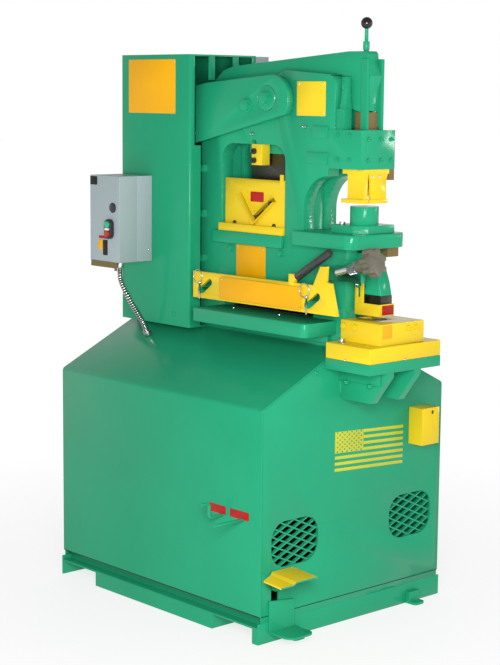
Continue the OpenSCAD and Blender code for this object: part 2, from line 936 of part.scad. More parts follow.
module coper_table() {
    half = coper_w / 2;
    color(yellow)
        difference() {
            block([coper_x0, coper_x1], [-half, half], [coper_plate_z, coper_table_z]);
            block([notch_x0 + 2, notch_x1 - 2], [-slide_y, slide_y], [coper_plate_z - 1, coper_table_z + 1]);
        }
}

module coper_die_block() {
    seat = slide_y + notch_gap;
    color(yellow)
        difference() {
            block([coper_x0 + 2, coper_die_x1], [-90, 90], [coper_table_z, coper_z]);
            block([notch_x0 - notch_gap, notch_x1 + notch_gap], [-seat, seat],
                  [coper_table_z - 1, coper_z + 1]);
            both_sides()
                block([notch_x0, notch_x1], [-seat - insert_t, -seat + eps], [coper_z - 24, coper_z + 1]);
        }
}

// Cap screws of the tool stations
module cap_screws() {
    color(steel) {
        for (y = [-40, 12, 56], h = [26, 86])
            translate([block_x1, y, block_z0 + h]) rotate([0, 90, 0]) cap_head(6);
        both_sides()
            for (x = [punch_x - 44, punch_x + 4], h = [26, 98])
                translate([x, -block_y, block_z0 + h]) rotate([90, 0, 0]) cap_head(6);
        for (x = [coper_x0 + 16, coper_x0 + 62])
            translate([x, -90, coper_z - 18]) rotate([90, 0, 0]) cap_head(8);
        for (y = [22, 56])
            translate([coper_die_x1, y, coper_z - 18]) rotate([0, 90, 0]) cap_head(8);
        for (y = [-118, 118]) translate([coper_x0 + 34, y, coper_table_z]) cap_head(10);
        for (y = [-48, 62]) translate([punch_x - 42, y, table_z + 24]) cap_head(9);
    }
    color(black)
        for (h = [50, 22])
            translate([vee_x - 7, -fy + 7, win_z1 - h]) rotate([90, 0, 0]) cap_head(9);
}

// Housing, starter and electrical pieces

// Bent cover over the cylinder, open towards the arm, with lips, hanging straps and a bottom flange
module cylinder_housing() {
    lip = 20;
    low_lip = 46;
    low_z1 = win_z1 - 10;
    color(green)
        difference() {
            union() {
                block([house_x0, house_x0 + sheet], [-house_y, house_y], [deck_z, house_z1]);
                block([house_x0, house_x1], [-house_y, house_y], [house_z1 - sheet, house_z1]);
                both_sides() {
                    block([house_x0, house_x1], [-house_y, -house_y + sheet], [deck_z, house_z1]);
                    block([house_x1 - sheet, house_x1], [-house_y, -house_y + lip], [deck_z, house_z1]);
                    block([house_x1 - sheet, house_x1], [-house_y, -house_y + low_lip], [deck_z, low_z1]);
                    block([house_x0, house_x1], [-house_y, -dy + 8], [deck_z, deck_z + sheet]);
                }
                for (y = [-52, 48])
                    block([house_x1 - 15, house_x1 - 10], [y, y + 24],
                          [house_z1 - 78, house_z1 - sheet + eps]);
            }
            for (y = [-40, 60]) translate([house_x1 - 24, y, house_z1 - 6]) cylinder(r = 5, h = 8);
        }
}

module starter_base() {
    color(grey)
        difference() {
            block([start_x0, start_x1], [start_seam_y, -house_y], [start_z0, start_z1]);
            block([start_x0 + 3, start_x1 - 3], [start_seam_y - 1, -house_y - 3],
                  [start_z0 + 3, start_z1 - 3]);
        }
}

// Cover with a down-turned drip lip along its lower edge
module starter_cover() {
    color(grey)
        difference() {
            union() {
                block([start_x0, start_x1], [start_y0, start_seam_y], [start_z0, start_z1]);
                block([start_x0 + 3, start_x1 - 40], [start_y0, start_y0 + 4],
                      [start_z0 - 19, start_z0 + eps]);
            }
            block([start_x0 + 3, start_x1 - 3], [start_y0 + 3, start_seam_y + 1],
                  [start_z0 + 3, start_z1 - 3]);
        }
}

// Oblong button bezel and the plug over the spare hole
module button_bezel() {
    top = bezel_z + button_pitch / 2;
    low = bezel_z - button_pitch / 2;
    color(black) {
        upright(start_y0 - bezel_t, start_y0)
            difference() {
                slot_area([bezel_x, low], [bezel_x, top], 17);
                for (z = [low, top]) translate([bezel_x, z]) circle(button_r + seat_gap);
            }
        bar_y(bezel_x + 12, bezel_z + 68, 16, start_y0 - 3, start_y0);
    }
}

// Round push button that stands out of the bezel
module push_button(z) {
    bar_y(bezel_x, z, button_r, start_y0 - bezel_t - 5, start_y0 - 5);
}

module start_button() {
    color(green) push_button(bezel_z + button_pitch / 2);
}

module stop_button() {
    color(red) push_button(bezel_z - button_pitch / 2);
}

// Point and direction at a share s of the conduit's route
function on_route(s) =
    let (n = len(conduit_route) - 1, f = min(s * n, n - 0.0001), i = floor(f), t = f - i,
         a = conduit_route[max(i - 1, 0)], b = conduit_route[i], c = conduit_route[i + 1],
         d = conduit_route[min(i + 2, n)])
    0.5 * (2 * b + (c - a) * t + (2 * a - 5 * b + 4 * c - d) * t * t + (3 * b - a - 3 * c + d) * t * t * t);
function unit(v) = v / norm(v);
function heading(s) = unit(on_route(min(s + 0.01, 1)) - on_route(max(s - 0.01, 0)));
function ring(s, r, sides) =
    let (p = on_route(s), w = heading(s), u = unit(cross(w, [1, 0, 0])), v = cross(w, u))
    [for (k = [0:sides - 1]) p + r * (cos(360 * k / sides) * u + sin(360 * k / sides) * v)];

// Ribbed metal conduit with its bore: two rings to a rib outside, plain rings inside
module conduit() {
    sides = 8;
    outer = 2 * conduit_ribs;
    inner = 24;
    shares = [for (k = [0:outer]) k / outer];
    out_rings = [for (k = [0:outer])
        ring(shares[k], k < 4 || k > outer - 4 || k % 2 == 0 ? conduit_r : conduit_r - conduit_groove,
             sides)];
    in_rings = [for (k = [inner:-1:0]) ring(k / inner, conduit_bore_r, sides)];
    rings = concat(out_rings, in_rings);
    count = len(rings);
    color(steel)
        polyhedron(
            points = [for (r = rings, p = r) p],
            faces = [for (i = [0:count - 1], k = [0:sides - 1], half = [0, 1])
                let (j = (i + 1) % count, m = (k + 1) % sides)
                half == 0 ? [i * sides + k, j * sides + k, j * sides + m]
                          : [i * sides + k, j * sides + m, i * sides + m]]);
}

// Fittings at both ends of the conduit
module conduit_fittings() {
    start = conduit_route[0];
    end = conduit_route[len(conduit_route) - 1];
    slope_z = shoulder_z + (cy + end[1]) * rise;
    reach = (end[2] - slope_z) * cos(top_slope);
    color(steel) {
        translate(start) cylinder(r = 13, h = start_z0 - start[2]);
        translate(end) rotate([180 + top_slope, 0, 0]) cylinder(r = 13, h = reach);
    }
}

module junction_box() {
    color(grey)
        block([house_x1 - 90, house_x1 - 4], [house_y, house_y + 56], [house_z1 - 102, house_z1 - 2]);
}

// Yellow cover on the punch end, open at its back
module stroke_box() {
    y0 = cy - 149;
    z0 = shoulder_z - 176;
    color(yellow)
        difference() {
            block([cx, cx + 54], [y0, y0 + 78], [z0, z0 + 114]);
            block([cx - 1, cx + 51], [y0 + 3, y0 + 75], [z0 + 3, z0 + 111]);
            bar_x(y0 + 48, z0 + 99, 6, cx + 40, cx + 60);
        }
}

// Quarter bend of a round rod, from +Z at the origin towards +X
module rod_bend(r, bend) {
    translate([bend, 0, 0]) rotate([90, 0, 0]) rotate([0, 0, 90])
        rotate_extrude(angle = 90) translate([bend, 0]) circle(r);
}

// Tool hooks on the front panel: a stepped rod and a straight rod, both standing out towards the operator
module tool_hooks() {
    r = 5;
    bend = 11;
    out = 50;
    step = 42;
    color(green) {
        translate([308, -cy, 351]) rotate([90, 0, 0]) {
            cylinder(r = r, h = out - bend);
            translate([0, 0, out - bend]) rotate(90) rod_bend(r, bend);
            translate([0, bend, out]) rotate([-90, 0, 0]) cylinder(r = r, h = step - 2 * bend);
            translate([0, step - bend, out]) rotate([-90, 90, 0]) rotate(180) rod_bend(r, bend);
            translate([0, step, out + bend]) cylinder(r = r, h = 20);
        }
        translate([399, -cy, 354]) rotate([90, 0, 0]) cylinder(r = r, h = 112);
    }
}

// Hydraulic power unit inside the cabinet

tank_x = [-440, -150];
tank_y = 220;
tank_z1 = 400;
pump_z = 190;
motor_x = [60, 360];
motor_r = 96;

module oil_tank() {
    z0 = fork_h + base_t;
    color(steel)
        difference() {
            block(tank_x, [-tank_y, tank_y], [z0, tank_z1]);
            block([tank_x[0] + 4, tank_x[1] - 4], [4 - tank_y, tank_y - 4], [z0 + 4, tank_z1 - 4]);
        }
}

// Foot-mounted motor with end bells, cooling fins and a terminal box
module motor() {
    z0 = fork_h + base_t;
    color(dark_steel) {
        bar_x(0, pump_z, motor_r, motor_x[0] + 30, motor_x[1] - 60);
        bar_x(0, pump_z, motor_r - 8, motor_x[0], motor_x[1]);
        for (a = [0:20:340])
            translate([motor_x[0] + 40, 0, pump_z]) rotate([a, 0, 0])
                block([0, 190], [-2, 2], [motor_r - 6, motor_r + 7]);
        block([motor_x[0] + 60, motor_x[1] - 90], [-90, 90], [z0, z0 + 12]);
        both_sides() block([motor_x[0] + 60, motor_x[1] - 90], [-82, -62], [z0 + 10, pump_z - 40]);
        block([motor_x[0] + 90, motor_x[0] + 180], [-40, 40],
              [pump_z + motor_r - 10, pump_z + motor_r + 46]);
    }
}

// Gear pump on the tank's end with the bell housing that joins it to the motor
module pump() {
    color(dark_steel) {
        block([tank_x[1], tank_x[1] + 100], [-50, 50], [pump_z - 55, pump_z + 55]);
        bar_x(0, pump_z, 42, tank_x[1] + 99, tank_x[1] + 140);
        bar_x(0, pump_z, 70, tank_x[1] + 139, motor_x[0]);
    }
}

// Solenoid valve on the tank's top
module valve_block() {
    z1 = tank_z1 + 100;
    color(steel) {
        block([heel_x - 136, heel_x - 84], [-56, 56], [tank_z1, z1]);
        both_sides() bar_y(heel_x - 110, tank_z1 + 50, 22, -122, -55);
    }
}

// Pressure and return hoses from the valve up through the deck to the cylinder's ports
module hydraulic_hoses() {
    bend = 30;
    x = heel_x - 110;
    port_x = heel_x - barrel_r;
    z0 = tank_z1 + 100;
    color(black)
        for (p = [[-30, deck_z + 70], [30, barrel_z1 - 70]])
            translate([x, p[0], 0]) {
                translate([0, 0, z0]) cylinder(r = 11, h = p[1] - bend - z0);
                translate([0, 0, p[1] - bend]) rod_bend(11, bend);
                translate([bend, 0, p[1]]) rotate([0, 90, 0])
                    cylinder(r = 11, h = port_x - x - bend + 14);
            }
}

module cylinder_barrel() {
    port_z = [deck_z + 70, barrel_z1 - 70];
    color(dark_steel)
        difference() {
            union() {
                translate([heel_x, 0, deck_z]) cylinder(r = barrel_r, h = barrel_z1 - deck_z, $fn = 96);
                block([heel_x - 90, heel_x + 90], [-dy + 10, dy - 10], [deck_z, deck_z + 20]);
            }
            translate([heel_x, 0, deck_z + 30])
                cylinder(r = bore_r, h = barrel_z1 - gland_t - deck_z - 30, $fn = 96);
            translate([heel_x, 0, barrel_z1 - gland_t - 1])
                cylinder(r = rod_r + run_gap, h = gland_t + 2, $fn = 96);
            for (i = [0, 1])
                bar_x(i == 0 ? -30 : 30, port_z[i], 11 + seat_gap, heel_x - barrel_r - 2, heel_x - 30);
        }
}

// Moving pieces

// Arm: rear heel with its pin, pivot bore, underside pad seat and a deep nose over the punch
module rocker_arm() {
    tail = heel_x - 50;
    color(green)
        difference() {
            union() {
                upright(-arm_y, arm_y)
                    difference() {
                        union() {
                            polygon([[tail, heel_z - 20], [tail, heel_z + 52], [tail + 18, heel_z + 68],
                                     [col_x, heel_z + 78], [col_x + 50, pivot_z + 84], [-60, pivot_z + 96],
                                     [60, pivot_z + 106], [nose_x + 5, arm_top_z], [punch_x + 14, arm_top_z],
                                     [punch_x + 21, arm_top_z - 8], [punch_x + 23, arm_top_z - 36],
                                     [punch_x + 36, pivot_z + 66], [punch_x + 28, pivot_z + 30],
                                     [punch_x + 22, nose_pad_z + 3], [punch_x - 16, nose_pad_z + 3],
                                     [block_x + 40, nose_pad_z + 12], [block_x - 12, nose_pad_z + 4],
                                     [block_x - 12, arm_under_z], [slide_pad_x - 60, arm_under_z],
                                     [slide_pad_x - 130, pivot_z - 104], [pivot_x - 110, pivot_z - 104],
                                     [pivot_x - 230, pivot_z - 76]]);
                            translate([punch_x, nose_pad_z + nose_pad_r]) circle(nose_pad_r);
                        }
                        translate([pivot_x, pivot_z]) circle(pin_r + bush_t + run_gap);
                    }
                bar_y(heel_x, heel_z, heel_r, -gy - 26, gy + 26);
            }
            block([lever_x - 16, lever_x + 16], [-lever_eye / 2 - seat_gap, lever_eye / 2 + seat_gap],
                  [lever_z - 18, arm_top_z + 1]);
        }
    color(steel) bar_y(lever_x, lever_z, lever_pin_r, -lever_eye / 2 - seat_gap, lever_eye / 2 + seat_gap);
}

module pivot_bush() {
    color([0.72, 0.55, 0.25])
        difference() {
            bar_y(pivot_x, pivot_z, pin_r + bush_t, -arm_y, arm_y);
            bar_y(pivot_x, pivot_z, pin_r + run_gap, -arm_y - 1, arm_y + 1);
        }
}

// Engagement lever with a ball
module punch_lever() {
    collar_z = arm_top_z + 28;
    ball_z = arm_top_z + 80;
    color(green)
        difference() {
            union() {
                bar_y(lever_x, lever_z, 15, -lever_eye / 2, lever_eye / 2);
                translate([lever_x, 0, lever_z]) cylinder(r = 8, h = collar_z - lever_z);
                translate([lever_x, 0, arm_top_z + 5]) cylinder(r = 9.5, h = collar_z - arm_top_z - 5);
                translate([lever_x, 0, lever_z]) cylinder(r = 5.5, h = ball_z - ball_r + 4 - lever_z);
            }
            bar_y(lever_x, lever_z, lever_pin_r + run_gap, -lever_eye, lever_eye);
        }
    color(black) translate([lever_x, 0, ball_z]) sphere(r = ball_r);
}

// Ram with a square head under the arm's nose
module punch_ram() {
    z0 = block_z0 - 24;
    color(dark_steel) {
        translate([punch_x, 0, z0]) cylinder(r = ram_r, h = block_z1 + 4 - z0, $fn = 96);
        block([punch_x - 23, punch_x + 23], [-22, 22], [block_z1 + 4 - eps, nose_pad_z - seat_gap]);
    }
}

// Coupling nut and punch
module punch_tool() {
    z1 = block_z0 - 24;
    color(dark_steel) {
        translate([punch_x, 0, z1 - 36]) cylinder(r = 26, h = 36, $fn = 6);
        translate([punch_x, 0, z1 - 54]) cylinder(r = 10.6, h = 19);
    }
}

// Slide between the frame plates: top bar over the window, post, lower beam and notcher's neck
module shear_slide() {
    post = [win_x1 + 8, throat_x - 7];
    beam_z1 = table_z0 - 14;
    neck_z0 = notch_z + notch_t;
    pad_z = arm_under_z - seat_gap - slide_pad_r;
    color(green)
        upright(-slide_y, slide_y) {
            polygon([[20, slide_top_z], [post[0], slide_top_z], [post[0], beam_z1 - 14],
                     [win_x - 12.5, beam_z1 - 14], [win_x - 12.5, slide_z0], [jaw_x - 10, slide_z0],
                     [notch_x0, neck_z0], [notch_x1, neck_z0], [notch_x1 - 9, neck_z0 + 38],
                     [notch_x1 - 29, neck_z0 + 88], [notch_x1 - 38, beam_z1], [post[1], beam_z1],
                     [post[1], slide_top_z], [slide_pad_x + 20, slide_top_z + 4], [slide_pad_x + 20, pad_z],
                     [slide_pad_x - 20, pad_z], [slide_pad_x - 34, slide_bar_z1], [20, slide_bar_z1]]);
            translate([slide_pad_x, pad_z]) circle(slide_pad_r);
        }
}

// Angle blade, raked flat-bar blade and notching blade on the slide
module upper_blades() {
    top = slide_top_z;
    flat_z0 = slide_z0 - upper_blade_drop;
    color(dark_steel) {
        upright(-slide_y, -slide_y + blade_t)
            intersection() {
                area([30, win_z0], [win_x1 - 3, top]);
                in_vee() area([vee_gap, vee_gap], [400, 400]);
            }
        upright(-slide_y, -slide_y + blade_t)
            polygon([[bar_x0, flat_z0], [bar_x1, flat_z0 - blade_rake], [bar_x1, slide_z0],
                     [bar_x0, slide_z0]]);
        block([notch_x0, notch_x1], [-slide_y, slide_y], [notch_z, notch_z + notch_t]);
    }
}

// Guard round the notching blade, on a slotted leg
module coper_guard() {
    y1 = guard_y + guard_t;
    front = notch_x1 + 9;
    low = coper_z + 12;
    slot_x = notch_x0 + 10;
    color(yellow)
        difference() {
            union() {
                block([notch_x0 - 6, notch_x0 + 27], [guard_y, y1], [low, low + 106]);
                block([notch_x0 - 6, front], [guard_y, y1], [low, low + 35]);
                block([front - guard_t, front], [guard_y, gy], [low, low + 35]);
            }
            upright(guard_y - 1, y1 + 1) slot_area([slot_x, low + 56], [slot_x, low + 89], 5 + seat_gap);
        }
}

// Piston, rod and slotted yoke
module cylinder_rod() {
    piston_z = deck_z + 170;
    ear = [gy + 1.5, gy + 22];
    color(steel)
        difference() {
            union() {
                translate([heel_x, 0, piston_z]) cylinder(r = bore_r - run_gap, h = 50, $fn = 96);
                translate([heel_x, 0, piston_z]) cylinder(r = rod_r, h = yoke_z - piston_z, $fn = 96);
                block([heel_x - 40, heel_x + 40], [-ear[1], ear[1]], [yoke_z - 30, yoke_z]);
                both_sides()
                    upright(-ear[1], -ear[0]) {
                        area([heel_x - 40, yoke_z - eps], [heel_x + 40, heel_z]);
                        translate([heel_x, heel_z]) circle(40);
                    }
            }
            both_sides()
                upright(-ear[1] - 1, -ear[0] + 1)
                    slot_area([heel_x - 2, heel_z], [heel_x + 1, heel_z], heel_r + 0.5);
        }
}

// Tread with a lower near end and a cut corner, on an arm that runs through the end panel to its pin
module foot_pedal() {
    y1 = pedal_y0 + pedal_w;
    fold = pedal_y0 + 59;
    arm = [pedal_arm_y - pedal_arm_w / 2, pedal_arm_y + pedal_arm_w / 2];
    back = cx + 2 - pedal_pivot_x;
    color(yellow)
        translate([pedal_pivot_x, 0, pedal_pivot_z]) {
            difference() {
                translate([back, 0, 49]) rotate([0, pedal_tilt, 0])
                    across(0, 102)
                        polygon([[pedal_y0, -7], [fold - 10, -7], [fold, 0], [y1 - 6, 0], [y1, -4], [y1, -9],
                                 [y1 - 7, -5], [fold + 1, -5], [fold - 9, -12], [pedal_y0, -12]]);
                level(20, 60)
                    polygon([[back - 1, pedal_y0 - 1], [back + 29, pedal_y0 - 1], [back - 1, fold]]);
            }
            upright(arm[0], arm[1])
                polygon([[-36, -7], [66, -7], [74, 2], [92, 44], [58, 46], [58, 7], [-36, 7]]);
            bar_y(0, 0, 11, arm[0], arm[1]);
            bar_y(0, 0, pedal_pin_r, arm[0] - 9, arm[1] + 9);
        }
}

base_frame();
anchor_brackets();
front_panel();
rear_panel();
punch_end_panel();
cylinder_end_panel();
deck_plate();
vent_grilles();
frame_plate_near();
frame_plate_far();
frame_spacers();
pivot_cheeks();
pivot_pin();
frame_bolts();
punch_guide_block();
stripper();
die_table();
die_holder();
die_block();
window_sill();
angle_table();
angle_guard();
hold_down_block();
rear_guard();
bar_table();
lower_blades();
holder_mounts();
coper_support();
coper_table();
coper_die_block();
cap_screws();
cylinder_housing();
starter_base();
starter_cover();
button_bezel();
conduit();
conduit_fittings();
junction_box();
stroke_box();
tool_hooks();
oil_tank();
motor();
pump();
valve_block();
hydraulic_hoses();
cylinder_barrel();
rocker_arm();
pivot_bush();
punch_lever();
punch_ram();
punch_tool();
shear_slide();
upper_blades();
coper_guard();
cylinder_rod();
bar_holder();
star_knob();
foot_pedal();
start_button();
stop_button();
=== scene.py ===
"""Looks for a hydraulic ironworker.

The machine's own solids get rounded edges and enamel, steel or plastic finishes, and the small hardware that
the solids leave out is modelled here. Metres, in the solids' own frame: +X towards the punch end, -Y the
operator's side, +Z up.
"""

import json
import math

import bmesh
import bpy
from bpy.props import FloatProperty
from bpy.props import FloatVectorProperty
from bpy.props import IntProperty
from bpy.props import PointerProperty
from mathutils import Matrix
from mathutils import Vector


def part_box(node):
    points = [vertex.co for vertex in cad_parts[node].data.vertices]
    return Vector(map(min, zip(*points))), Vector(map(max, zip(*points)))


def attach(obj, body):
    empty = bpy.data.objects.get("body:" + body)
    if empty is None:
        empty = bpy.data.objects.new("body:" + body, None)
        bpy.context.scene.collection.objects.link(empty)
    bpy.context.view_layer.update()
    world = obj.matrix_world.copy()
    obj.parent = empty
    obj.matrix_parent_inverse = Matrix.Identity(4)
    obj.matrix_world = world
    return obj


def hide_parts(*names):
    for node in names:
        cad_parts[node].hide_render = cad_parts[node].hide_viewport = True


bl_info = {
    "name": "Ironworker looks",
    "version": (1, 0, 0),
    "blender": (4, 5, 0),
    "location": "View3D > Sidebar > Ironworker",
    "description": "Finishes, rounded edges and small hardware of a hydraulic ironworker",
    "category": "Object",
}

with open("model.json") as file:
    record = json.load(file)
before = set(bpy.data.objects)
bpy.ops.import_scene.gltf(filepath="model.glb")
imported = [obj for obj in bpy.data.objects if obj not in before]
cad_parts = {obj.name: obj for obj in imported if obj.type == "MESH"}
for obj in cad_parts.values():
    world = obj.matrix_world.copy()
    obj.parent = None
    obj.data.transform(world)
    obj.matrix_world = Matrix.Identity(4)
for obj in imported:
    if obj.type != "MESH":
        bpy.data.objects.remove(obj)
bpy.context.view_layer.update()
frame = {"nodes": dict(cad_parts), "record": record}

SLOT_OF = {part["node"]: part["material_slot"] for part in frame["record"]["subparts"]}
BODY_OF = {node: body for body, nodes in frame["record"]["behaviour"]["bodies"].items() for node in nodes}

# Planes of the machine that new pieces sit on
PANEL_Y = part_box("front_panel")[0].y
END_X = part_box("stroke_box")[0].x
PLATE_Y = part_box("frame_plate_near")[0].y
HOUSE_LOW, HOUSE_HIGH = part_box("cylinder_housing")
STARTER_LOW, STARTER_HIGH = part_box("starter_cover")
HOLDER_LOW, HOLDER_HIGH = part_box("bar_holder")
DECK_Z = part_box("deck_plate")[1].z
GUARD_Y = PLATE_Y + 0.009
LIP_Z = STARTER_LOW.z + 0.019

# Ways that a face can look
TO_PUNCH = (1, 0, 0)
TO_CYLINDER = (-1, 0, 0)
TO_OPERATOR = (0, -1, 0)
TO_FAR_SIDE = (0, 1, 0)
UP = (0, 0, 1)

# Route of the flexible conduit, from the starter's fitting to the cabinet's
CONDUIT_ROUTE = (
    (-0.335, -0.255, 1.012),
    (-0.335, -0.255, 1.003),
    (-0.335, -0.255, 0.994),
    (-0.3345, -0.254, 0.977),
    (-0.332, -0.2495, 0.960),
    (-0.328, -0.2425, 0.942),
    (-0.323, -0.234, 0.923),
    (-0.3185, -0.225, 0.904),
    (-0.3145, -0.216, 0.887),
    (-0.311, -0.207, 0.871),
    (-0.308, -0.198, 0.8555),
    (-0.306, -0.190, 0.842),
    (-0.305, -0.1825, 0.8285),
    (-0.305, -0.1773, 0.8178),
    (-0.305, -0.172, 0.807),
)

FINISH_PREFIX = "ironworker_"
MERGE_DISTANCE = 1e-6
SAME_PLACE = 1e-4
FLAT_ANGLE = math.radians(0.3)
CREASE_ANGLE = math.radians(33.0)


# Settings


def colour_of(name, description, default):
    """Colour setting"""
    return FloatVectorProperty(
        name=name, description=description, subtype="COLOR", min=0.0, max=1.0, default=default
    )


def amount_of(name, description, limits, default, unit="NONE"):
    """Setting for a length or another amount, with its limits"""
    low, high = limits
    return FloatProperty(name=name, description=description, unit=unit, min=low, max=high, default=default)


class IronworkerFinishes(bpy.types.PropertyGroup):
    """Colours of the machine's finishes"""

    green: colour_of("Green", "Enamel of the cabinet, frame and arm", (0.015, 0.306, 0.153))
    yellow: colour_of("Yellow", "Enamel of the guards, the holder and the notcher", (0.73, 0.525, 0.018))
    stripe: colour_of("Stripe", "Dull yellow of the painted stripes", (0.50, 0.50, 0.030))
    amber: colour_of("Amber", "Print of the blank plates", (0.77, 0.375, 0.002))
    grey: colour_of("Grey", "Enamel of the starter and the junction box", (0.33, 0.395, 0.41))
    red: colour_of("Red", "Stop button and the small blank plates", (0.40, 0.012, 0.011))


class IronworkerEdges(bpy.types.PropertyGroup):
    """Edge radii of the machine's pieces"""

    sheet: amount_of("Sheet", "Edge radius of sheet-metal pieces", (0.0002, 0.003), 0.0012, "LENGTH")
    bend: amount_of("Bend", "Outer radius of bends in the sheet", (0.003, 0.015), 0.008, "LENGTH")
    plate: amount_of("Plate", "Edge radius of thick plates and blocks", (0.0005, 0.006), 0.0025, "LENGTH")
    tool: amount_of("Tool", "Edge radius of blades and machined pieces", (0.0002, 0.003), 0.0009, "LENGTH")
    knob: amount_of("Knob", "Edge radius of the star knob", (0.0005, 0.004), 0.002, "LENGTH")
    button: amount_of("Button", "Edge radius of the push buttons", (0.0005, 0.003), 0.0015, "LENGTH")
    screw: amount_of("Screw", "Edge radius of the cap screws", (0.0002, 0.001), 0.0005, "LENGTH")


class IronworkerConduit(bpy.types.PropertyGroup):
    """Sizes of the flexible conduit"""

    diameter: amount_of("Diameter", "Outside diameter of the conduit", (0.012, 0.025), 0.018, "LENGTH")
    groove: amount_of("Groove", "Depth of the groove between two turns", (0.0005, 0.003), 0.0022, "LENGTH")
    ribs: IntProperty(
        name="Ribs", description="Turns of the strip between the two fittings", min=20, max=80, default=34
    )


class IronworkerStage(bpy.types.PropertyGroup):
    """Camera and light of the studio"""

    lens: amount_of("Lens", "Focal length on a 36 mm sensor", (20.0, 200.0), 89.658, "CAMERA")
    key: amount_of("Key light", "Power of the soft light beside the camera", (0.0, 2000.0), 95.0, "POWER")
    rim: amount_of("Rim light", "Power of the small light behind the punch end", (0.0, 500.0), 14.0, "POWER")
    walls: amount_of("Walls", "Brightness of the walls away from the white backdrop", (0.0, 3.0), 0.5)
    ceiling: amount_of("Ceiling", "Brightness of the studio's ceiling", (0.0, 3.0), 0.22)


# Finishes


def scaled(colour, share):
    """The same colour, lighter or darker"""
    return tuple(min(1.0, part * share) for part in colour[:3]) + (1.0,)


def blank_material(name):
    """New material with its node tree and main shader"""
    material = bpy.data.materials.new(FINISH_PREFIX + name)
    material.use_nodes = True
    tree = material.node_tree
    return material, tree, tree.nodes["Principled BSDF"]


def node_with(tree, kind, values):
    """New node with values on its inputs"""
    node = tree.nodes.new(kind)
    for name, value in values.items():
        node.inputs[name].default_value = value
    return node


def grain(tree, scale, detail=2.0, stretch=(1.0, 1.0, 1.0)):
    """Noise on the piece's own coordinates, stretched along its axes"""
    place = tree.nodes.new("ShaderNodeTexCoord")
    mapping = node_with(tree, "ShaderNodeMapping", {"Scale": stretch})
    noise = node_with(tree, "ShaderNodeTexNoise", {"Scale": scale, "Detail": detail})
    tree.links.new(place.outputs["Object"], mapping.inputs["Vector"])
    tree.links.new(mapping.outputs["Vector"], noise.inputs["Vector"])
    return noise.outputs["Fac"]


def spread(tree, value, limits):
    """Range node with these limits, fed by a value"""
    node = node_with(tree, "ShaderNodeMapRange", limits)
    tree.links.new(value, node.inputs["Value"])
    return node


def between(tree, factor, low, high):
    """Value that runs from low to high with a noise"""
    limits = {"From Min": 0.3, "From Max": 0.7, "To Min": low, "To Max": high}
    return spread(tree, factor, limits).outputs["Result"]


def coloured(tree, shader, factor, first, second):
    """Base colour that runs between two colours with a factor"""
    mix = tree.nodes.new("ShaderNodeMix")
    mix.data_type = "RGBA"
    mix.inputs["A"].default_value = first
    mix.inputs["B"].default_value = second
    tree.links.new(factor, mix.inputs["Factor"])
    tree.links.new(mix.outputs["Result"], shader.inputs["Base Color"])


def coated(name, colour, tint, gloss, relief, specular=0.5, metallic=0.0):
    """Finish whose tint, gloss and relief each follow a noise"""
    material, tree, shader = blank_material(name)
    noise, dark, light = tint
    clouds = between(tree, grain(tree, *noise), 0.0, 1.0)
    coloured(tree, shader, clouds, scaled(colour, dark), scaled(colour, light))
    noise, low, high = gloss
    tree.links.new(between(tree, grain(tree, *noise), low, high), shader.inputs["Roughness"])
    noise, strength, distance = relief
    bump = node_with(tree, "ShaderNodeBump", {"Strength": strength, "Distance": distance})
    tree.links.new(grain(tree, *noise), bump.inputs["Height"])
    tree.links.new(bump.outputs["Normal"], shader.inputs["Normal"])
    shader.inputs["Specular IOR Level"].default_value = specular
    shader.inputs["Metallic"].default_value = metallic
    return material


def enamel(name, colour, rough):
    """Sprayed gloss enamel: faint clouds of tint and orange peel"""
    tint = ((2.4, 3.0), 0.95, 1.05)
    gloss = ((9.0, 4.0), rough - 0.04, rough + 0.05)
    peel = ((260.0, 1.0), 0.06, 0.0006)
    return coated(name, colour, tint, gloss, peel, specular=0.15)


def flame_cut(name, colour, rough):
    """Enamel over a flame-cut edge, with drag lines across the plate's thickness"""
    tint = ((2.4, 3.0), 0.93, 1.05)
    gloss = ((9.0, 4.0), rough - 0.05, rough + 0.06)
    drag_lines = ((70.0, 4.0, (1.0, 0.12, 1.0)), 0.8, 0.003)
    return coated(name, colour, tint, gloss, drag_lines, specular=0.45)


def machined(name, colour, rough, stretch):
    """Ground or turned steel with fine lines along one direction and thin stains of oil"""
    lines = (90.0, 3.0, stretch)
    stains = ((14.0, 5.0), 0.72, 1.12)
    gloss = (lines, rough - 0.08, rough + 0.12)
    return coated(name, colour, stains, gloss, (lines, 0.12, 0.0003), metallic=1.0)


def moulded(name, colour, rough):
    """Moulded plastic with a fine spark texture"""
    tint = ((30.0,), 0.85, 1.15)
    gloss = ((60.0,), rough - 0.05, rough + 0.06)
    return coated(name, colour, tint, gloss, ((1400.0,), 0.15, 0.0002))


def printed(name, colour):
    """Satin print on thin sheet"""
    tint = ((6.0, 3.0), 0.93, 1.05)
    gloss = ((40.0,), 0.30, 0.42)
    return coated(name, colour, tint, gloss, ((500.0,), 0.06, 0.0002), specular=0.2)


def floor_paint():
    """Pale matt floor that runs out into the studio's white sweep"""
    material, tree, shader = blank_material("studio_floor")
    place = tree.nodes.new("ShaderNodeTexCoord")
    away = tree.nodes.new("ShaderNodeVectorMath")
    away.operation = "LENGTH"
    tree.links.new(place.outputs["Object"], away.inputs[0])
    limits = {"From Min": 0.5, "From Max": 2.4, "To Min": 0.78}
    sweep = spread(tree, away.outputs["Value"], limits).outputs["Result"]
    coloured(tree, shader, sweep, (0.90, 0.90, 0.89, 1.0), (0.0, 0.0, 0.0, 1.0))
    shader.inputs["Emission Color"].default_value = (1.0, 1.0, 1.0, 1.0)
    tree.links.new(sweep, shader.inputs["Emission Strength"])
    shader.inputs["Roughness"].default_value = 0.7
    shader.inputs["Specular IOR Level"].default_value = 0.1
    return material


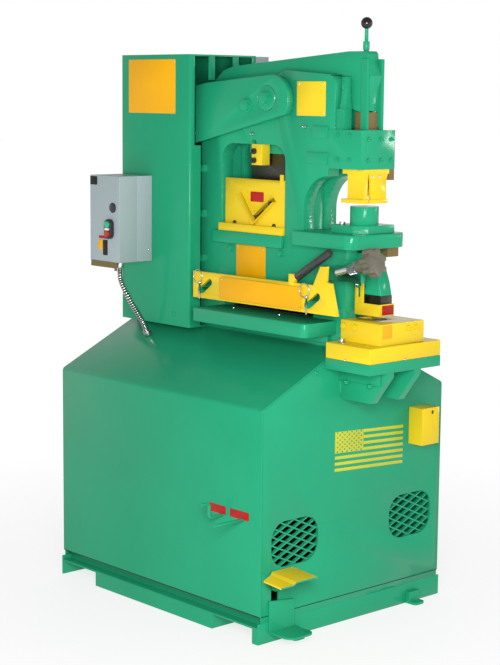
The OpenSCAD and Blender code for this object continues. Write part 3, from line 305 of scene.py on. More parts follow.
def finish(name):
    """Finish of that name, made the first time that a piece asks for it"""
    found = bpy.data.materials.get(FINISH_PREFIX + name)
    if found is not None:
        return found
    colours = bpy.context.scene.ironworker_finishes
    recipes = {
        "green_paint": (enamel, colours.green, 0.18),
        "yellow_paint": (enamel, colours.yellow, 0.20),
        "grey_paint": (enamel, colours.grey, 0.36),
        # Olive of painted shade and a painted reflection of the floor, for the starter's lower lip
        "olive_primer": (enamel, (0.150, 0.125, 0.045), 0.40),
        # Brown of painted shade, for the far-side lips and the punch ram
        "brown_primer": (enamel, (0.19, 0.125, 0.048), 0.40),
        "shadow_gap": (enamel, (0.004, 0.055, 0.030), 0.45),
        "cut_green": (flame_cut, colours.green, 0.16),
        # Darker, matt green: painted shade on the bar table's top
        "worn_green": (enamel, scaled(colours.green, 0.86), 0.55),
        # Near-black: painted shade over dark steel, for the flat-bar blades
        "oiled_steel": (enamel, (0.030, 0.036, 0.031), 0.50),
        "steel": (machined, (0.56, 0.57, 0.58), 0.30, (1.0, 1.0, 14.0)),
        "dark_steel": (machined, (0.090, 0.088, 0.074), 0.40, (1.0, 9.0, 1.0)),
        "bright_zinc": (machined, (0.70, 0.71, 0.72), 0.24, (5.0, 5.0, 5.0)),
        "bronze": (machined, (0.50, 0.32, 0.12), 0.32, (1.0, 8.0, 1.0)),
        "black_plastic": (moulded, (0.018, 0.018, 0.018), 0.34),
        "knob_plastic": (moulded, (0.105, 0.097, 0.064), 0.38),
        "grip_rubber": (moulded, (0.030, 0.031, 0.031), 0.26),
        "gloss_plastic": (moulded, (0.012, 0.012, 0.013), 0.12),
        "green_plastic": (moulded, (0.02, 0.38, 0.20), 0.30),
        "red_plastic": (moulded, colours.red, 0.30),
        "white_plastic": (moulded, (0.70, 0.70, 0.68), 0.32),
        "hose_rubber": (moulded, (0.016, 0.016, 0.017), 0.55),
        "amber_print": (printed, colours.amber),
        "yellow_print": (printed, colours.yellow),
        "stripe_print": (printed, colours.stripe),
        "red_print": (printed, colours.red),
        "black_print": (printed, (0.014, 0.013, 0.012)),
    }
    maker, *values = recipes[name]
    return maker(name, *values)


# Shapes


def edges_of(verts):
    """Edges that join the given vertices"""
    return list({edge for vert in verts for edge in vert.link_edges})


def eased(shape, edges, radius, segments):
    """Round the given edges; returns the new faces"""
    made = bmesh.ops.bevel(
        shape, geom=edges, offset=radius, affect="EDGES", segments=segments, profile=0.5, material=-1
    )
    return made["faces"]


def rounded_slab(shape, low, high, axis, corner, rim):
    """Box between two corners, with its edges along one axis rounded and its rim eased"""
    low = Vector(low)
    size = Vector(high) - low
    place = Matrix.Translation(low + size / 2) @ Matrix.Diagonal(size.to_4d())
    verts = bmesh.ops.create_cube(shape, size=1.0, matrix=place)["verts"]
    along = [e for e in edges_of(verts) if abs((e.verts[0].co - e.verts[1].co)[axis]) > MERGE_DISTANCE]
    grown = list({v for f in eased(shape, along, corner, segments=5) for v in f.verts})
    level = [e for e in edges_of(grown) if abs((e.verts[0].co - e.verts[1].co)[axis]) < MERGE_DISTANCE]
    eased(shape, level, rim, segments=2)


def turned(shape, profile, place, steps=24):
    """Turned piece: a profile of (radius, height) points spun about its own axis, then put in place"""
    before = set(shape.verts)
    verts = [shape.verts.new((radius, 0.0, height)) for radius, height in profile]
    edges = [shape.edges.new(pair) for pair in zip(verts, verts[1:])]
    bmesh.ops.spin(
        shape,
        geom=verts + edges,
        cent=(0.0, 0.0, 0.0),
        axis=UP,
        angle=math.tau,
        steps=steps,
        use_merge=True,
        use_duplicate=False,
    )
    body = [v for v in shape.verts if v not in before]
    bmesh.ops.transform(shape, matrix=place, verts=body)
    bmesh.ops.remove_doubles(shape, verts=body, dist=MERGE_DISTANCE)
    whole = [v for v in body if v.is_valid]
    bmesh.ops.recalc_face_normals(shape, faces=list({f for v in whole for f in v.link_faces}))


def facing(point, direction):
    """Placement at a point with +Z along a direction"""
    return Matrix.Translation(Vector(point)) @ Vector(direction).to_track_quat("Z", "Y").to_matrix().to_4x4()


def tube(shape, points, radii, sides, closed=False, marks=None):
    """Round tube through points, with one radius and, where given, one finish for each"""
    count = len(points)
    loops = []
    for index, point in enumerate(points):
        before = points[index - 1] if closed or index else point
        after = points[(index + 1) % count] if closed or index < count - 1 else point
        place = facing(point, Vector(after) - Vector(before))
        made = bmesh.ops.create_circle(
            shape, cap_ends=False, segments=sides, radius=radii[index], matrix=place
        )
        loops.append(edges_of(made["verts"]))
    pairs = list(zip(loops, loops[1:]))
    if closed:
        pairs.append((loops[-1], loops[0]))
    for index, (first, second) in enumerate(pairs):
        made = bmesh.ops.bridge_loops(shape, edges=first + second)
        for face in made["faces"]:
            face.material_index = marks[index] if marks else 0
    if not closed:
        for end in (loops[0], loops[-1]):
            bmesh.ops.contextual_create(shape, geom=end)


def on_route(route, share):
    """Point of a smooth curve through the route's points, at a share of its way"""
    last = len(route) - 1
    reach = min(share * last, last - 1e-4)
    index = int(reach)
    t = reach - index
    a = Vector(route[max(index - 1, 0)])
    b = Vector(route[index])
    c = Vector(route[index + 1])
    d = Vector(route[min(index + 2, last)])
    return 0.5 * (2 * b + (c - a) * t + (2 * a - 5 * b + 4 * c - d) * t**2 + (3 * b - a - 3 * c + d) * t**3)


# Pieces


def linked(name, data):
    """New object in the scene"""
    thing = bpy.data.objects.new(name, data)
    bpy.context.scene.collection.objects.link(thing)
    return thing


def object_from(name, shape, materials):
    """Mesh object made of a finished shape"""
    mesh = bpy.data.meshes.new(name)
    shape.to_mesh(mesh)
    shape.free()
    for material in materials:
        mesh.materials.append(material)
    return linked(name, mesh)


def piece_from(name, shape, finishes, body):
    """Smooth piece of the machine, riding on a body"""
    for face in shape.faces:
        face.smooth = True
    piece = object_from(name, shape, [finish(material) for material in finishes])
    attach(piece, body)
    return piece


def on_frame(name, shape, finish_name):
    """Piece in one finish that rides on the fixed frame"""
    return piece_from(name, shape, [finish_name], "frame")


def round_edges(piece, radius, segments=2):
    """Round every sharp edge of a piece"""
    bevel = piece.modifiers.new("rounded edges", "BEVEL")
    bevel.width = radius
    bevel.segments = segments
    bevel.limit_method = "ANGLE"
    bevel.angle_limit = CREASE_ANGLE
    bevel.harden_normals = True


def copied(node):
    """Merged copy of a solid's mesh, with its flat faces joined"""
    shape = bmesh.new()
    shape.from_mesh(frame["nodes"][node].data)
    for layer in shape.loops.layers.float_vector.keys():
        shape.loops.layers.float_vector.remove(shape.loops.layers.float_vector[layer])
    bmesh.ops.remove_doubles(shape, verts=shape.verts, dist=MERGE_DISTANCE)
    bmesh.ops.dissolve_limit(shape, angle_limit=FLAT_ANGLE, verts=shape.verts, edges=shape.edges)
    return shape


def dressed(node, edge, base=None, bends=None, cut_z=None, segments=2, **accents):
    """A solid's copy with rounded edges, in its slot's finish or another, and accents where a test holds"""
    edges = bpy.context.scene.ironworker_edges
    shape = copied(node)
    if cut_z is not None:
        everything = shape.verts[:] + shape.edges[:] + shape.faces[:]
        bmesh.ops.bisect_plane(
            shape, geom=everything, dist=MERGE_DISTANCE, plane_co=(0.0, 0.0, cut_z), plane_no=UP
        )
    if bends is not None:
        eased(shape, [one for one in shape.edges if bends(one)], edges.bend, segments=4)
    for index, test in enumerate(accents.values(), start=1):
        for face in shape.faces:
            if test(face.calc_center_median()):
                face.material_index = index
    names = [base or SLOT_OF[node], *accents]
    piece = piece_from("dressed_" + node, shape, names, BODY_OF[node])
    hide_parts(node)
    round_edges(piece, getattr(edges, edge), segments)


def dress_all(edge, *nodes):
    """Plain copies of several solids with like edges"""
    for node in nodes:
        dressed(node, edge)


def around(start, along, span, reach):
    """Test for points round an axis, within a span along it and a reach from it"""

    def holds(p):
        height = (p - start).dot(along)
        return span[0] < height < span[1] and (p - start - along * height).length < reach

    return holds


def on_bar_blade(p):
    """Whether a point lies on the flat-bar blades, below the window and behind the notcher, which are
    painted near-black as painted shade over dark steel
    """
    notcher_x = 0.4
    window_z = 1.0
    return p.x < notcher_x and p.z < window_z


def blank_plates(name, print_finish, sides=(), ends=(), body="frame"):
    """Blank plates on faces that look towards the operator and on faces that look towards the punch end"""
    thick = 0.0012
    rim = 0.0003
    shape = bmesh.new()
    for x, y, z in sides:
        rounded_slab(shape, (x[0], y - thick, z[0]), (x[1], y, z[1]), 1, 0.003, rim)
    for x, y, z in ends:
        rounded_slab(shape, (x, y[0], z[0]), (x + thick, y[1], z[1]), 0, 0.002, rim)
    piece_from(name, shape, [print_finish], body)


def border(first, second):
    """Points of a grid that lie on its border"""
    ends = {first[0], first[-1]}
    tops = {second[0], second[-1]}
    return [(a, b) for a in first for b in second if a in ends or b in tops]


def corners(x, z, inset):
    """Four points inside the corners of an upright rectangle"""
    return border((x[0] + inset, x[1] - inset), (z[0] + inset, z[1] - inset))


def corner_rivets(shape, x, y, z):
    """Low domed drive rivets in the corners of a plate on the operator's side"""
    profile = [(0.0022, 0.0), (0.0021, 0.0006), (0.0015, 0.0011), (0.0007, 0.0013), (0.0, 0.0013)]
    inset = 0.008
    seat = y - 0.001
    for px, pz in corners(x, z, inset):
        turned(shape, profile, facing((px, seat, pz), TO_OPERATOR), 12)


def screw_set(name, heads, finish_name="bright_zinc"):
    """Pan-head screws with sockets, each given by its place, the way it looks and its radius"""
    profile = ((1, 0), (1, 0.35), (0.82, 0.62), (0.5, 0.72), (0.4, 0.70), (0.34, 0.30), (0, 0.26))
    shape = bmesh.new()
    for place, way, radius in heads:
        turned(shape, [(out * radius, up * radius) for out, up in profile], facing(place, way), 20)
    on_frame(name, shape, finish_name)


def prism(shape, sides, radii, depth, place):
    """Tapered prism, round or six-sided"""
    low, high = radii
    bmesh.ops.create_cone(
        shape, cap_ends=True, segments=sides, radius1=low, radius2=high, depth=depth, matrix=place
    )


def weld_bead(shape, start, end, radius):
    """Rippled weld bead along a straight seam"""
    start = Vector(start)
    run = Vector(end) - start
    pitch = 1.1 * radius
    dip = 0.16
    tip = 0.55
    ripples = max(4, round(run.length / pitch))
    points = [start + run * (step / ripples) for step in range(ripples + 1)]
    radii = [radius * (1.0 - dip * (step % 2)) for step in range(ripples + 1)]
    radii[0] = radii[-1] = tip * radius
    tube(shape, points, radii, 8)


# Operators


class IRONWORKER_OT_stage(bpy.types.Operator):
    """Camera at the operator's corner, soft and rim lights, white walls and a pale floor"""

    bl_idname = "ironworker.stage"
    bl_label = "Studio"

    def execute(self, context):
        stage = context.scene.ironworker_stage
        self.camera(context, stage.lens)
        self.soft_light("key_light", (2.5, -2.2, 1.45), stage.key, 0.9)
        self.soft_light("rim_light", (2.9, 3.0, 1.75), stage.rim, 0.35)
        self.sky(context, stage.walls, stage.ceiling)
        self.floor()
        context.scene.view_settings.view_transform = "Standard"
        return {"FINISHED"}

    def camera(self, context, lens):
        """Camera that looks a little down on the punch end and the operator's side"""
        camera = linked("camera", bpy.data.cameras.new("camera"))
        camera.data.lens = lens
        camera.data.sensor_width = 36.0
        camera.data.clip_end = 100.0
        turn = Matrix.Rotation(math.radians(47.663), 4, "Z")
        tilt = Matrix.Rotation(math.radians(81.794), 4, "X")
        roll = Matrix.Rotation(math.radians(0.538), 4, "Z")
        camera.matrix_world = Matrix.Translation((3.8331, -3.4892, 1.5663)) @ turn @ tilt @ roll
        context.scene.camera = camera

    def soft_light(self, name, place, power, width):
        """Square light that looks at the middle of the machine"""
        data = bpy.data.lights.new(name, "AREA")
        data.energy = power
        data.size = width
        light = linked(name, data)
        middle = Vector((0.15, -0.1, 0.9))
        aim = middle - Vector(place)
        light.matrix_world = Matrix.Translation(place) @ aim.to_track_quat("-Z", "Y").to_matrix().to_4x4()

    def sky(self, context, walls, ceiling):
        """White backdrop behind the machine, dimmer walls and ceiling around it"""
        world = bpy.data.worlds.new("studio")
        world.use_nodes = True
        tree = world.node_tree
        place = tree.nodes.new("ShaderNodeTexCoord").outputs["Generated"]
        behind = tree.nodes.new("ShaderNodeVectorMath")
        behind.operation = "DOT_PRODUCT"
        behind.inputs[1].default_value = (-0.74, 0.67, 0.0)
        tree.links.new(place, behind.inputs[0])
        limits = {"From Min": 0.35, "From Max": 0.75, "To Min": walls}
        around = spread(tree, behind.outputs["Value"], limits)
        split = tree.nodes.new("ShaderNodeSeparateXYZ")
        tree.links.new(place, split.inputs["Vector"])
        fade = spread(tree, split.outputs["Z"], {"From Min": 0.16, "To Max": ceiling})
        tree.links.new(around.outputs["Result"], fade.inputs["To Min"])
        backdrop = tree.nodes["Background"]
        tree.links.new(fade.outputs["Result"], backdrop.inputs["Strength"])
        backdrop.inputs["Color"].default_value = (1.0, 1.0, 1.0, 1.0)
        context.scene.world = world

    def floor(self):
        """Wide floor just under the machine's feet"""
        shape = bmesh.new()
        bmesh.ops.create_grid(shape, x_segments=4, y_segments=4, size=40.0)
        floor = object_from("floor", shape, [floor_paint()])
        floor.location.z = -0.001


class IRONWORKER_OT_conduit(bpy.types.Operator):
    """Flexible strip-wound conduit between the starter and the cabinet, with its fittings"""

    bl_idname = "ironworker.conduit"
    bl_label = "Conduit"

    def execute(self, context):
        sizes = context.scene.ironworker_conduit
        outer = sizes.diameter / 2
        per_rib = 6
        rise = (0.0, 0.70, 1.0, 1.0, 0.70, 0.0)
        shaded_groove = (1, 0, 0, 0, 1, 1)
        rings = sizes.ribs * per_rib
        shares = [ring / rings for ring in range(rings + 1)]
        points = [on_route(CONDUIT_ROUTE, share) for share in shares]
        radii = [outer - sizes.groove * (1.0 - rise[ring % per_rib]) for ring in range(rings + 1)]
        shape = bmesh.new()
        # Faces in the grooves between turns take dark steel as painted shade in the grooves
        marks = [shaded_groove[ring % per_rib] for ring in range(rings)]
        tube(shape, points, radii, 20, marks=marks)
        bmesh.ops.recalc_face_normals(shape, faces=shape.faces)
        conduit = piece_from("conduit_strip", shape, ["bright_zinc", "dark_steel"], "frame")
        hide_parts("conduit")
        dressed("conduit_fittings", "tool")
        return {"FINISHED"}


class IRONWORKER_OT_cabinet(bpy.types.Operator):
    """Cabinet panels, base, feet, deck, vents, hooks, cover box and service covers"""

    bl_idname = "ironworker.cabinet"
    bl_label = "Cabinet"

    def execute(self, context):
        for node in ("front_panel", "rear_panel"):
            dressed(node, "sheet", bends=self.at_shoulder)
        dress_all("sheet", "punch_end_panel", "cylinder_end_panel", "base_frame", "stroke_box")
        dress_all("plate", "anchor_brackets", "deck_plate")
        self.grilles()
        self.seams()
        self.covers()
        dressed("tool_hooks", "tool")
        return {"FINISHED"}

    def seams(self):
        """Dark joint lines between the panels and the base"""
        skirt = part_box("base_frame")[1].z
        proud = 0.0004
        half = 0.0013
        side = abs(PANEL_Y)
        reach_x = END_X - 0.004
        reach_y = side - 0.004
        shape = bmesh.new()
        for x in (END_X, -END_X):
            low = (x - proud, -reach_y, skirt - half)
            rounded_slab(shape, low, (x + proud, reach_y, skirt + half), 0, 0.001, 0.0001)
        for y in (-side, side):
            low = (-reach_x, y - proud, skirt - half)
            rounded_slab(shape, low, (reach_x, y + proud, skirt + half), 1, 0.001, 0.0001)
        on_frame("panel_seams", shape, "shadow_gap")

    def grilles(self):
        """Expanded metal whose strands stand deep behind the vents"""
        depth = 0.008
        shape = copied("vent_grilles")
        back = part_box("vent_grilles")[0].x
        for vert in shape.verts:
            if vert.co.x < back + 0.001:
                vert.co.x -= depth
        grilles = on_frame("deep_grilles", shape, "green_paint")
        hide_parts("vent_grilles")
        round_edges(grilles, 0.0007, 1)

    def covers(self):
        """Service covers on the far panel, the cylinder end and the housing's back, with their screws"""
        thick = 0.0015
        corner = 0.012
        rim = 0.0005
        radius = 0.006
        covers = bmesh.new()
        heads = []
        face = -PANEL_Y
        rounded_slab(covers, (-0.330, face, 0.150), (0.330, face + thick, 0.590), 1, corner, rim)
        for x, z in border((-0.315, -0.105, 0.105, 0.315), (0.165, 0.370, 0.575)):
            heads.append(((x, face + thick, z), TO_FAR_SIDE, radius))
        ends = (
            (-END_X, (0.270, 0.150, 0.520), (-0.255, 0.0, 0.255), (0.165, 0.335, 0.505)),
            (HOUSE_LOW.x, (0.118, 0.880, 1.640), (-0.104, 0.104), (0.895, 1.077, 1.260, 1.443, 1.625)),
        )
        for face, (half, low_z, high_z), across, heights in ends:
            rounded_slab(covers, (face - thick, -half, low_z), (face, half, high_z), 0, corner, rim)
            for y, z in border(across, heights):
                heads.append(((face - thick, y, z), TO_CYLINDER, radius))
        on_frame("service_covers", covers, "green_paint")
        screw_set("service_cover_screws", heads)

    def at_shoulder(self, edge):
        """Outer edge of the bend between the upright panel and the sloped top"""
        half_length = 0.5
        above = 0.6
        a, b = (vert.co for vert in edge.verts)
        at_face = all(abs(abs(p.y) - abs(PANEL_Y)) < SAME_PLACE for p in (a, b))
        return at_face and abs(a.x - b.x) > half_length and min(a.z, b.z) > above


class IRONWORKER_OT_main_frame(bpy.types.Operator):
    """Frame plates, spacers, pivot cheeks, pivot pin, bolts and grease fittings"""

    bl_idname = "ironworker.main_frame"
    bl_label = "Main frame"

    def execute(self, context):
        for node in ("frame_plate_near", "frame_plate_far", "pivot_cheeks"):
            self.cut_plate(node)
        dressed("frame_spacers", "plate")
        cheek_y = 0.0935
        dressed("pivot_pin", "tool", green_paint=lambda p: abs(p.y) > cheek_y)
        dressed("frame_bolts", "tool")
        self.grease_fittings()
        return {"FINISHED"}

    def cut_plate(self, node):
        """Thick plate with flame-cut edges between its flat faces"""
        margin = 0.001
        flats = {abs(corner.y) for name in (node, "frame_plate_near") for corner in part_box(name)}

        def on_edge(p):
            return all(abs(abs(p.y) - flat) > margin for flat in flats)

        dressed(node, "plate", cut_green=on_edge)

    def grease_fittings(self):
        """Grease fittings above the window and beside the main pivot"""
        shape = bmesh.new()
        profile = [
            (0.0, 0.0),
            (0.0052, 0.0),
            (0.0052, 0.004),
            (0.0040, 0.005),
            (0.0030, 0.008),
            (0.0033, 0.010),
            (0.0024, 0.013),
            (0.0, 0.0135),
        ]
        for x, z in ((0.084, 1.445), (0.313, 1.471)):
            turned(shape, profile, facing((x, PLATE_Y, z), TO_OPERATOR), 16)
        on_frame("grease_fittings", shape, "bright_zinc")


class IRONWORKER_OT_punch_station(bpy.types.Operator):
    """Guide block, stripper, die table, die holder, die block, ram and punch"""

    bl_idname = "ironworker.punch_station"
    bl_label = "Punch station"

    def execute(self, context):
        block_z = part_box("stripper")[1].z
        table_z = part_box("die_holder")[0].z - 0.042
        self.with_lip("punch_guide_block", 0.051, block_z)
        self.with_lip("die_table", 0.068, table_z)
        dressed("die_holder", "plate")
        dressed("stripper", "sheet")
        low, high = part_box("die_block")
        middle = (low + high) / 2
        insert = 0.026
        dressed("die_block", "tool", steel=lambda p: (p - middle).to_2d().length < insert)
        # Ram in the brown of painted shade, standing in for oily steel seen in shadow
        dressed("punch_ram", "tool", base="brown_primer")
        dressed("punch_tool", "tool")
        return {"FINISHED"}

    def with_lip(self, node, far_y, top_z):
        """Green block whose lip on the far side, below a height, is painted brown as painted shade"""
        below = top_z - 0.0005
        dressed(node, "plate", cut_z=top_z, brown_primer=lambda p: p.y > far_y and p.z < below)


class IRONWORKER_OT_angle_shear(bpy.types.Operator):
    """Window sill, shelf, guards and hold-down of the angle shear"""

    bl_idname = "ironworker.angle_shear"
    bl_label = "Angle shear"

    def execute(self, context):
        dressed("window_sill", "plate")
        dressed("angle_table", "sheet")
        dressed("angle_guard", "tool")
        dress_all("sheet", "hold_down_block", "rear_guard")
        return {"FINISHED"}


class IRONWORKER_OT_bar_shear(bpy.types.Operator):
    """Bar table, fixed blades, holder with its handle, posts, clips, star knob and exit curtain"""

    bl_idname = "ironworker.bar_shear"
    bl_label = "Bar shear"

    def execute(self, context):
        table_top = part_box("bar_table")[1].z - SAME_PLACE
        # The bar table's top is painted darker and matt, as painted shade under the holder
        dressed("bar_table", "plate", worn_green=lambda p: p.z > table_top)
        # The flat-bar blades are painted near-black: dark steel with painted shade
        dressed("lower_blades", "tool", oiled_steel=on_bar_blade)
        self.mounts()
        self.holder()
        self.knob()
        self.clips()
        self.exit_curtain()
        return {"FINISHED"}

    def exit_curtain(self):
        """Rubber strips that hang over the bar's exit in the far plate, clamped by a strip"""
        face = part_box("frame_plate_far")[1].y
        flaps = 7
        width = 0.060
        slit = 0.0015
        start = -0.050
        thick = 0.003
        rubber = bmesh.new()
        for flap in range(flaps):
            x = start + flap * width
            high = (x + width - slit, face + thick, 0.985)
            rounded_slab(rubber, (x, face, 0.886), high, 1, 0.002, 0.0006)
        on_frame("exit_curtain", rubber, "hose_rubber")
        low = (start - 0.004, face + thick, 0.962)
        high = (start + flaps * width + 0.004, face + 2 * thick, 0.987)
        strip = bmesh.new()
        rounded_slab(strip, low, high, 1, 0.003, 0.0005)
        on_frame("exit_clamp_strip", strip, "green_paint")
        inset = 0.014
        gaps = 4
        heads = []
        for step in range(gaps + 1):
            x = low[0] + inset + (high[0] - low[0] - 2 * inset) * step / gaps
            heads.append(((x, high[1], 0.9745), TO_FAR_SIDE, 0.005))
        screw_set("exit_strip_screws", heads)

    def holder(self):
        """Holder plate in yellow with a black rubber grip"""
        boss = Vector((0.353, (HOLDER_LOW.y + HOLDER_HIGH.y) / 2, DECK_Z + 0.195))
        lean = math.radians(58)
        along = Vector((math.sin(lean), 0.0, math.cos(lean)))
        grip = (0.0235, 0.5)
        grip_reach = 0.030
        dressed("bar_holder", "sheet", grip_rubber=around(boss, along, grip, grip_reach))

    def screw_axis(self):
        """Start and direction of the knob's screw"""
        tilt = math.radians(16)
        return Vector((0.508, -0.151, DECK_Z + 0.226)), Vector((math.cos(tilt), 0.0, math.sin(tilt)))

    def mounts(self):
        """Green posts and bracket, with a bright collar round the knob's screw"""
        start, along = self.screw_axis()
        collar = (0.080, 0.110)
        collar_reach = 0.0175
        dressed("holder_mounts", "sheet", bright_zinc=around(start, along, collar, collar_reach))

    def knob(self):
        """Knob in brown-black plastic on a bright screw"""
        start, along = self.screw_axis()
        hub = 0.1115
        dressed(
            "star_knob",
            "knob",
            base="knob_plastic",
            segments=3,
            bright_zinc=lambda p: (p - start).dot(along) < hub,
        )

    def clips(self):
        """Linch pins through the ends of the holder's posts, each with its wire ring"""
        shape = bmesh.new()
        pin = [
            (0.0, -0.0300),
            (0.0016, -0.0292),
            (0.0027, -0.0265),
            (0.0027, 0.0180),
            (0.0058, 0.0186),
            (0.0060, 0.0262),
            (0.0044, 0.0278),
            (0.0, 0.0278),
        ]
        wire = 0.0013
        ring = 0.0205
        steps = 32
        turns = [math.tau * step / steps for step in range(steps)]
        for x in (-0.046, 0.428):
            post = Vector((x, HOLDER_LOW.y - 0.0045, DECK_Z + 0.132))
            turned(shape, pin, Matrix.Translation(post), 16)
            middle = post + Vector((-0.008, -0.0015, 0.0420))
            points = [middle + ring * Vector((math.cos(a), 0.0, math.sin(a))) for a in turns]
            tube(shape, points, [wire] * steps, 8, closed=True)
        bmesh.ops.recalc_face_normals(shape, faces=shape.faces)
        on_frame("linch_pins", shape, "bright_zinc")


class IRONWORKER_OT_notcher(bpy.types.Operator):
    """Notcher's support, table, die block and guard, and the cap screws of all the stations"""

    bl_idname = "ironworker.notcher"
    bl_label = "Notcher"

    def execute(self, context):
        dress_all("plate", "coper_support", "coper_table", "coper_die_block")
        dressed("coper_guard", "sheet")
        self.cap_screws()
        return {"FINISHED"}

    def cap_screws(self):
        """Cap screws in the colour of what they hold, black in the window"""
        throat_x = 0.3
        guide_z = 1.3
        block_low = 0.885
        block_high = 0.93
        window_x = 0.2
        dressed(
            "cap_screws",
            "screw",
            green_paint=lambda p: p.x > throat_x and p.z > guide_z,
            yellow_paint=lambda p: block_low < p.z < block_high,
            black_plastic=lambda p: p.x < window_x,
        )


class IRONWORKER_OT_housing(bpy.types.Operator):
    """Cylinder housing, starter, buttons and junction box"""

    bl_idname = "ironworker.housing"
    bl_label = "Housing and controls"

    def execute(self, context):
        dressed("cylinder_housing", "sheet", bends=self.at_corner)
        dressed("starter_base", "sheet")
        # The starter cover's lower lip is painted olive as painted shade and a painted reflection of the
        # floor
        dressed("starter_cover", "sheet", cut_z=LIP_Z, olive_primer=lambda p: p.z < LIP_Z - SAME_PLACE)
        dressed("button_bezel", "tool")
        for node in ("start_button", "stop_button"):
            dressed(node, "button", segments=3)
        dressed("junction_box", "sheet")
        self.lip_end()
        self.box_screws()
        self.label_strip()
        return {"FINISHED"}

    def at_corner(self, edge):
        """Upright outer edge of the housing, where its sheet is bent"""
        long_edge = 0.3
        a, b = (vert.co for vert in edge.verts)
        upright = abs(a.z - b.z) > long_edge and abs(a.x - b.x) < SAME_PLACE
        at_side = abs(abs(a.y) - HOUSE_HIGH.y) < SAME_PLACE
        at_end = min(abs(a.x - HOUSE_LOW.x), abs(a.x - HOUSE_HIGH.x)) < SAME_PLACE
        return upright and at_side and at_end

    def box_screws(self):
        """Cover screws of the junction box"""
        low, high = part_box("junction_box")
        places = corners((low.x, high.x), (low.z, high.z), 0.011)
        screw_set("junction_box_screws", [((x, high.y, z), TO_FAR_SIDE, 0.0042) for x, z in places])

    def lip_end(self):
        """Turned-down end of the starter's lower lip, in front of the conduit's fitting"""
        x = STARTER_HIGH.x - 0.040
        end = x + 0.025
        face = STARTER_LOW.y
        back = face + 0.0035
        shape = bmesh.new()
        rounded_slab(shape, (x, face, STARTER_LOW.z), (end, back, LIP_Z), 1, 0.0006, 0.0003)
        low = (x + 0.014, face, LIP_Z - 0.027)
        rounded_slab(shape, low, (end, back, STARTER_LOW.z), 1, 0.0015, 0.0003)
        # The lip end is painted olive as painted shade and a painted reflection of the floor
        on_frame("starter_lip_end", shape, "olive_primer")

    def label_strip(self):
        """White strip between the two buttons"""
        upper_low, upper_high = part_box("start_button")
        lower_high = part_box("stop_button")[1]
        x = (upper_low.x + upper_high.x) / 2
        z = (upper_low.z + lower_high.z) / 2
        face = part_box("button_bezel")[0].y
        proud = 0.0042
        wide = 0.0095
        tall = 0.0033
        shape = bmesh.new()
        low = (x - wide, face - proud, z - tall)
        rounded_slab(shape, low, (x + wide, face, z + tall), 1, 0.001, 0.0004)
        on_frame("button_strip", shape, "white_plastic")


class IRONWORKER_OT_moving_gear(bpy.types.Operator):
    """Arm, bush, engagement lever, shear slide and its blades"""

    bl_idname = "ironworker.moving_gear"
    bl_label = "Arm and slide"

    def execute(self, context):
        dressed("rocker_arm", "plate")
        dressed("pivot_bush", "tool")
        ball_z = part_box("punch_lever")[1].z - 0.036
        dressed("punch_lever", "tool", gloss_plastic=lambda p: p.z > ball_z)
        dressed("shear_slide", "plate")
        jaw_z = 1.15
        jaw_top = 1.30
        near_y = -0.023
        # Blade faces behind the guard's slot are painted yellow as a painted reflection of the yellow
        # guards, in place of the shade in the slot
        dressed(
            "upper_blades",
            "tool",
            cut_z=jaw_top,
            yellow_paint=lambda p: jaw_z < p.z < jaw_top and p.y < near_y,
            oiled_steel=on_bar_blade,
        )
        return {"FINISHED"}


class IRONWORKER_OT_pedal(bpy.types.Operator):
    """Foot pedal"""

    bl_idname = "ironworker.pedal"
    bl_label = "Foot pedal"

    def execute(self, context):
        shank_y = -0.325
        half = 0.024
        tread_z = 0.199
        dressed("foot_pedal", "sheet", green_paint=lambda p: abs(p.y - shank_y) < half and p.z < tread_z)
        return {"FINISHED"}


class IRONWORKER_OT_power_unit(bpy.types.Operator):
    """Hydraulic pieces inside the cabinet and the housing"""

    bl_idname = "ironworker.power_unit"
    bl_label = "Power unit"

    def execute(self, context):
        dress_all("tool", "oil_tank", "motor", "pump", "valve_block", "cylinder_barrel", "cylinder_rod")
        dressed("hydraulic_hoses", "tool")
        return {"FINISHED"}


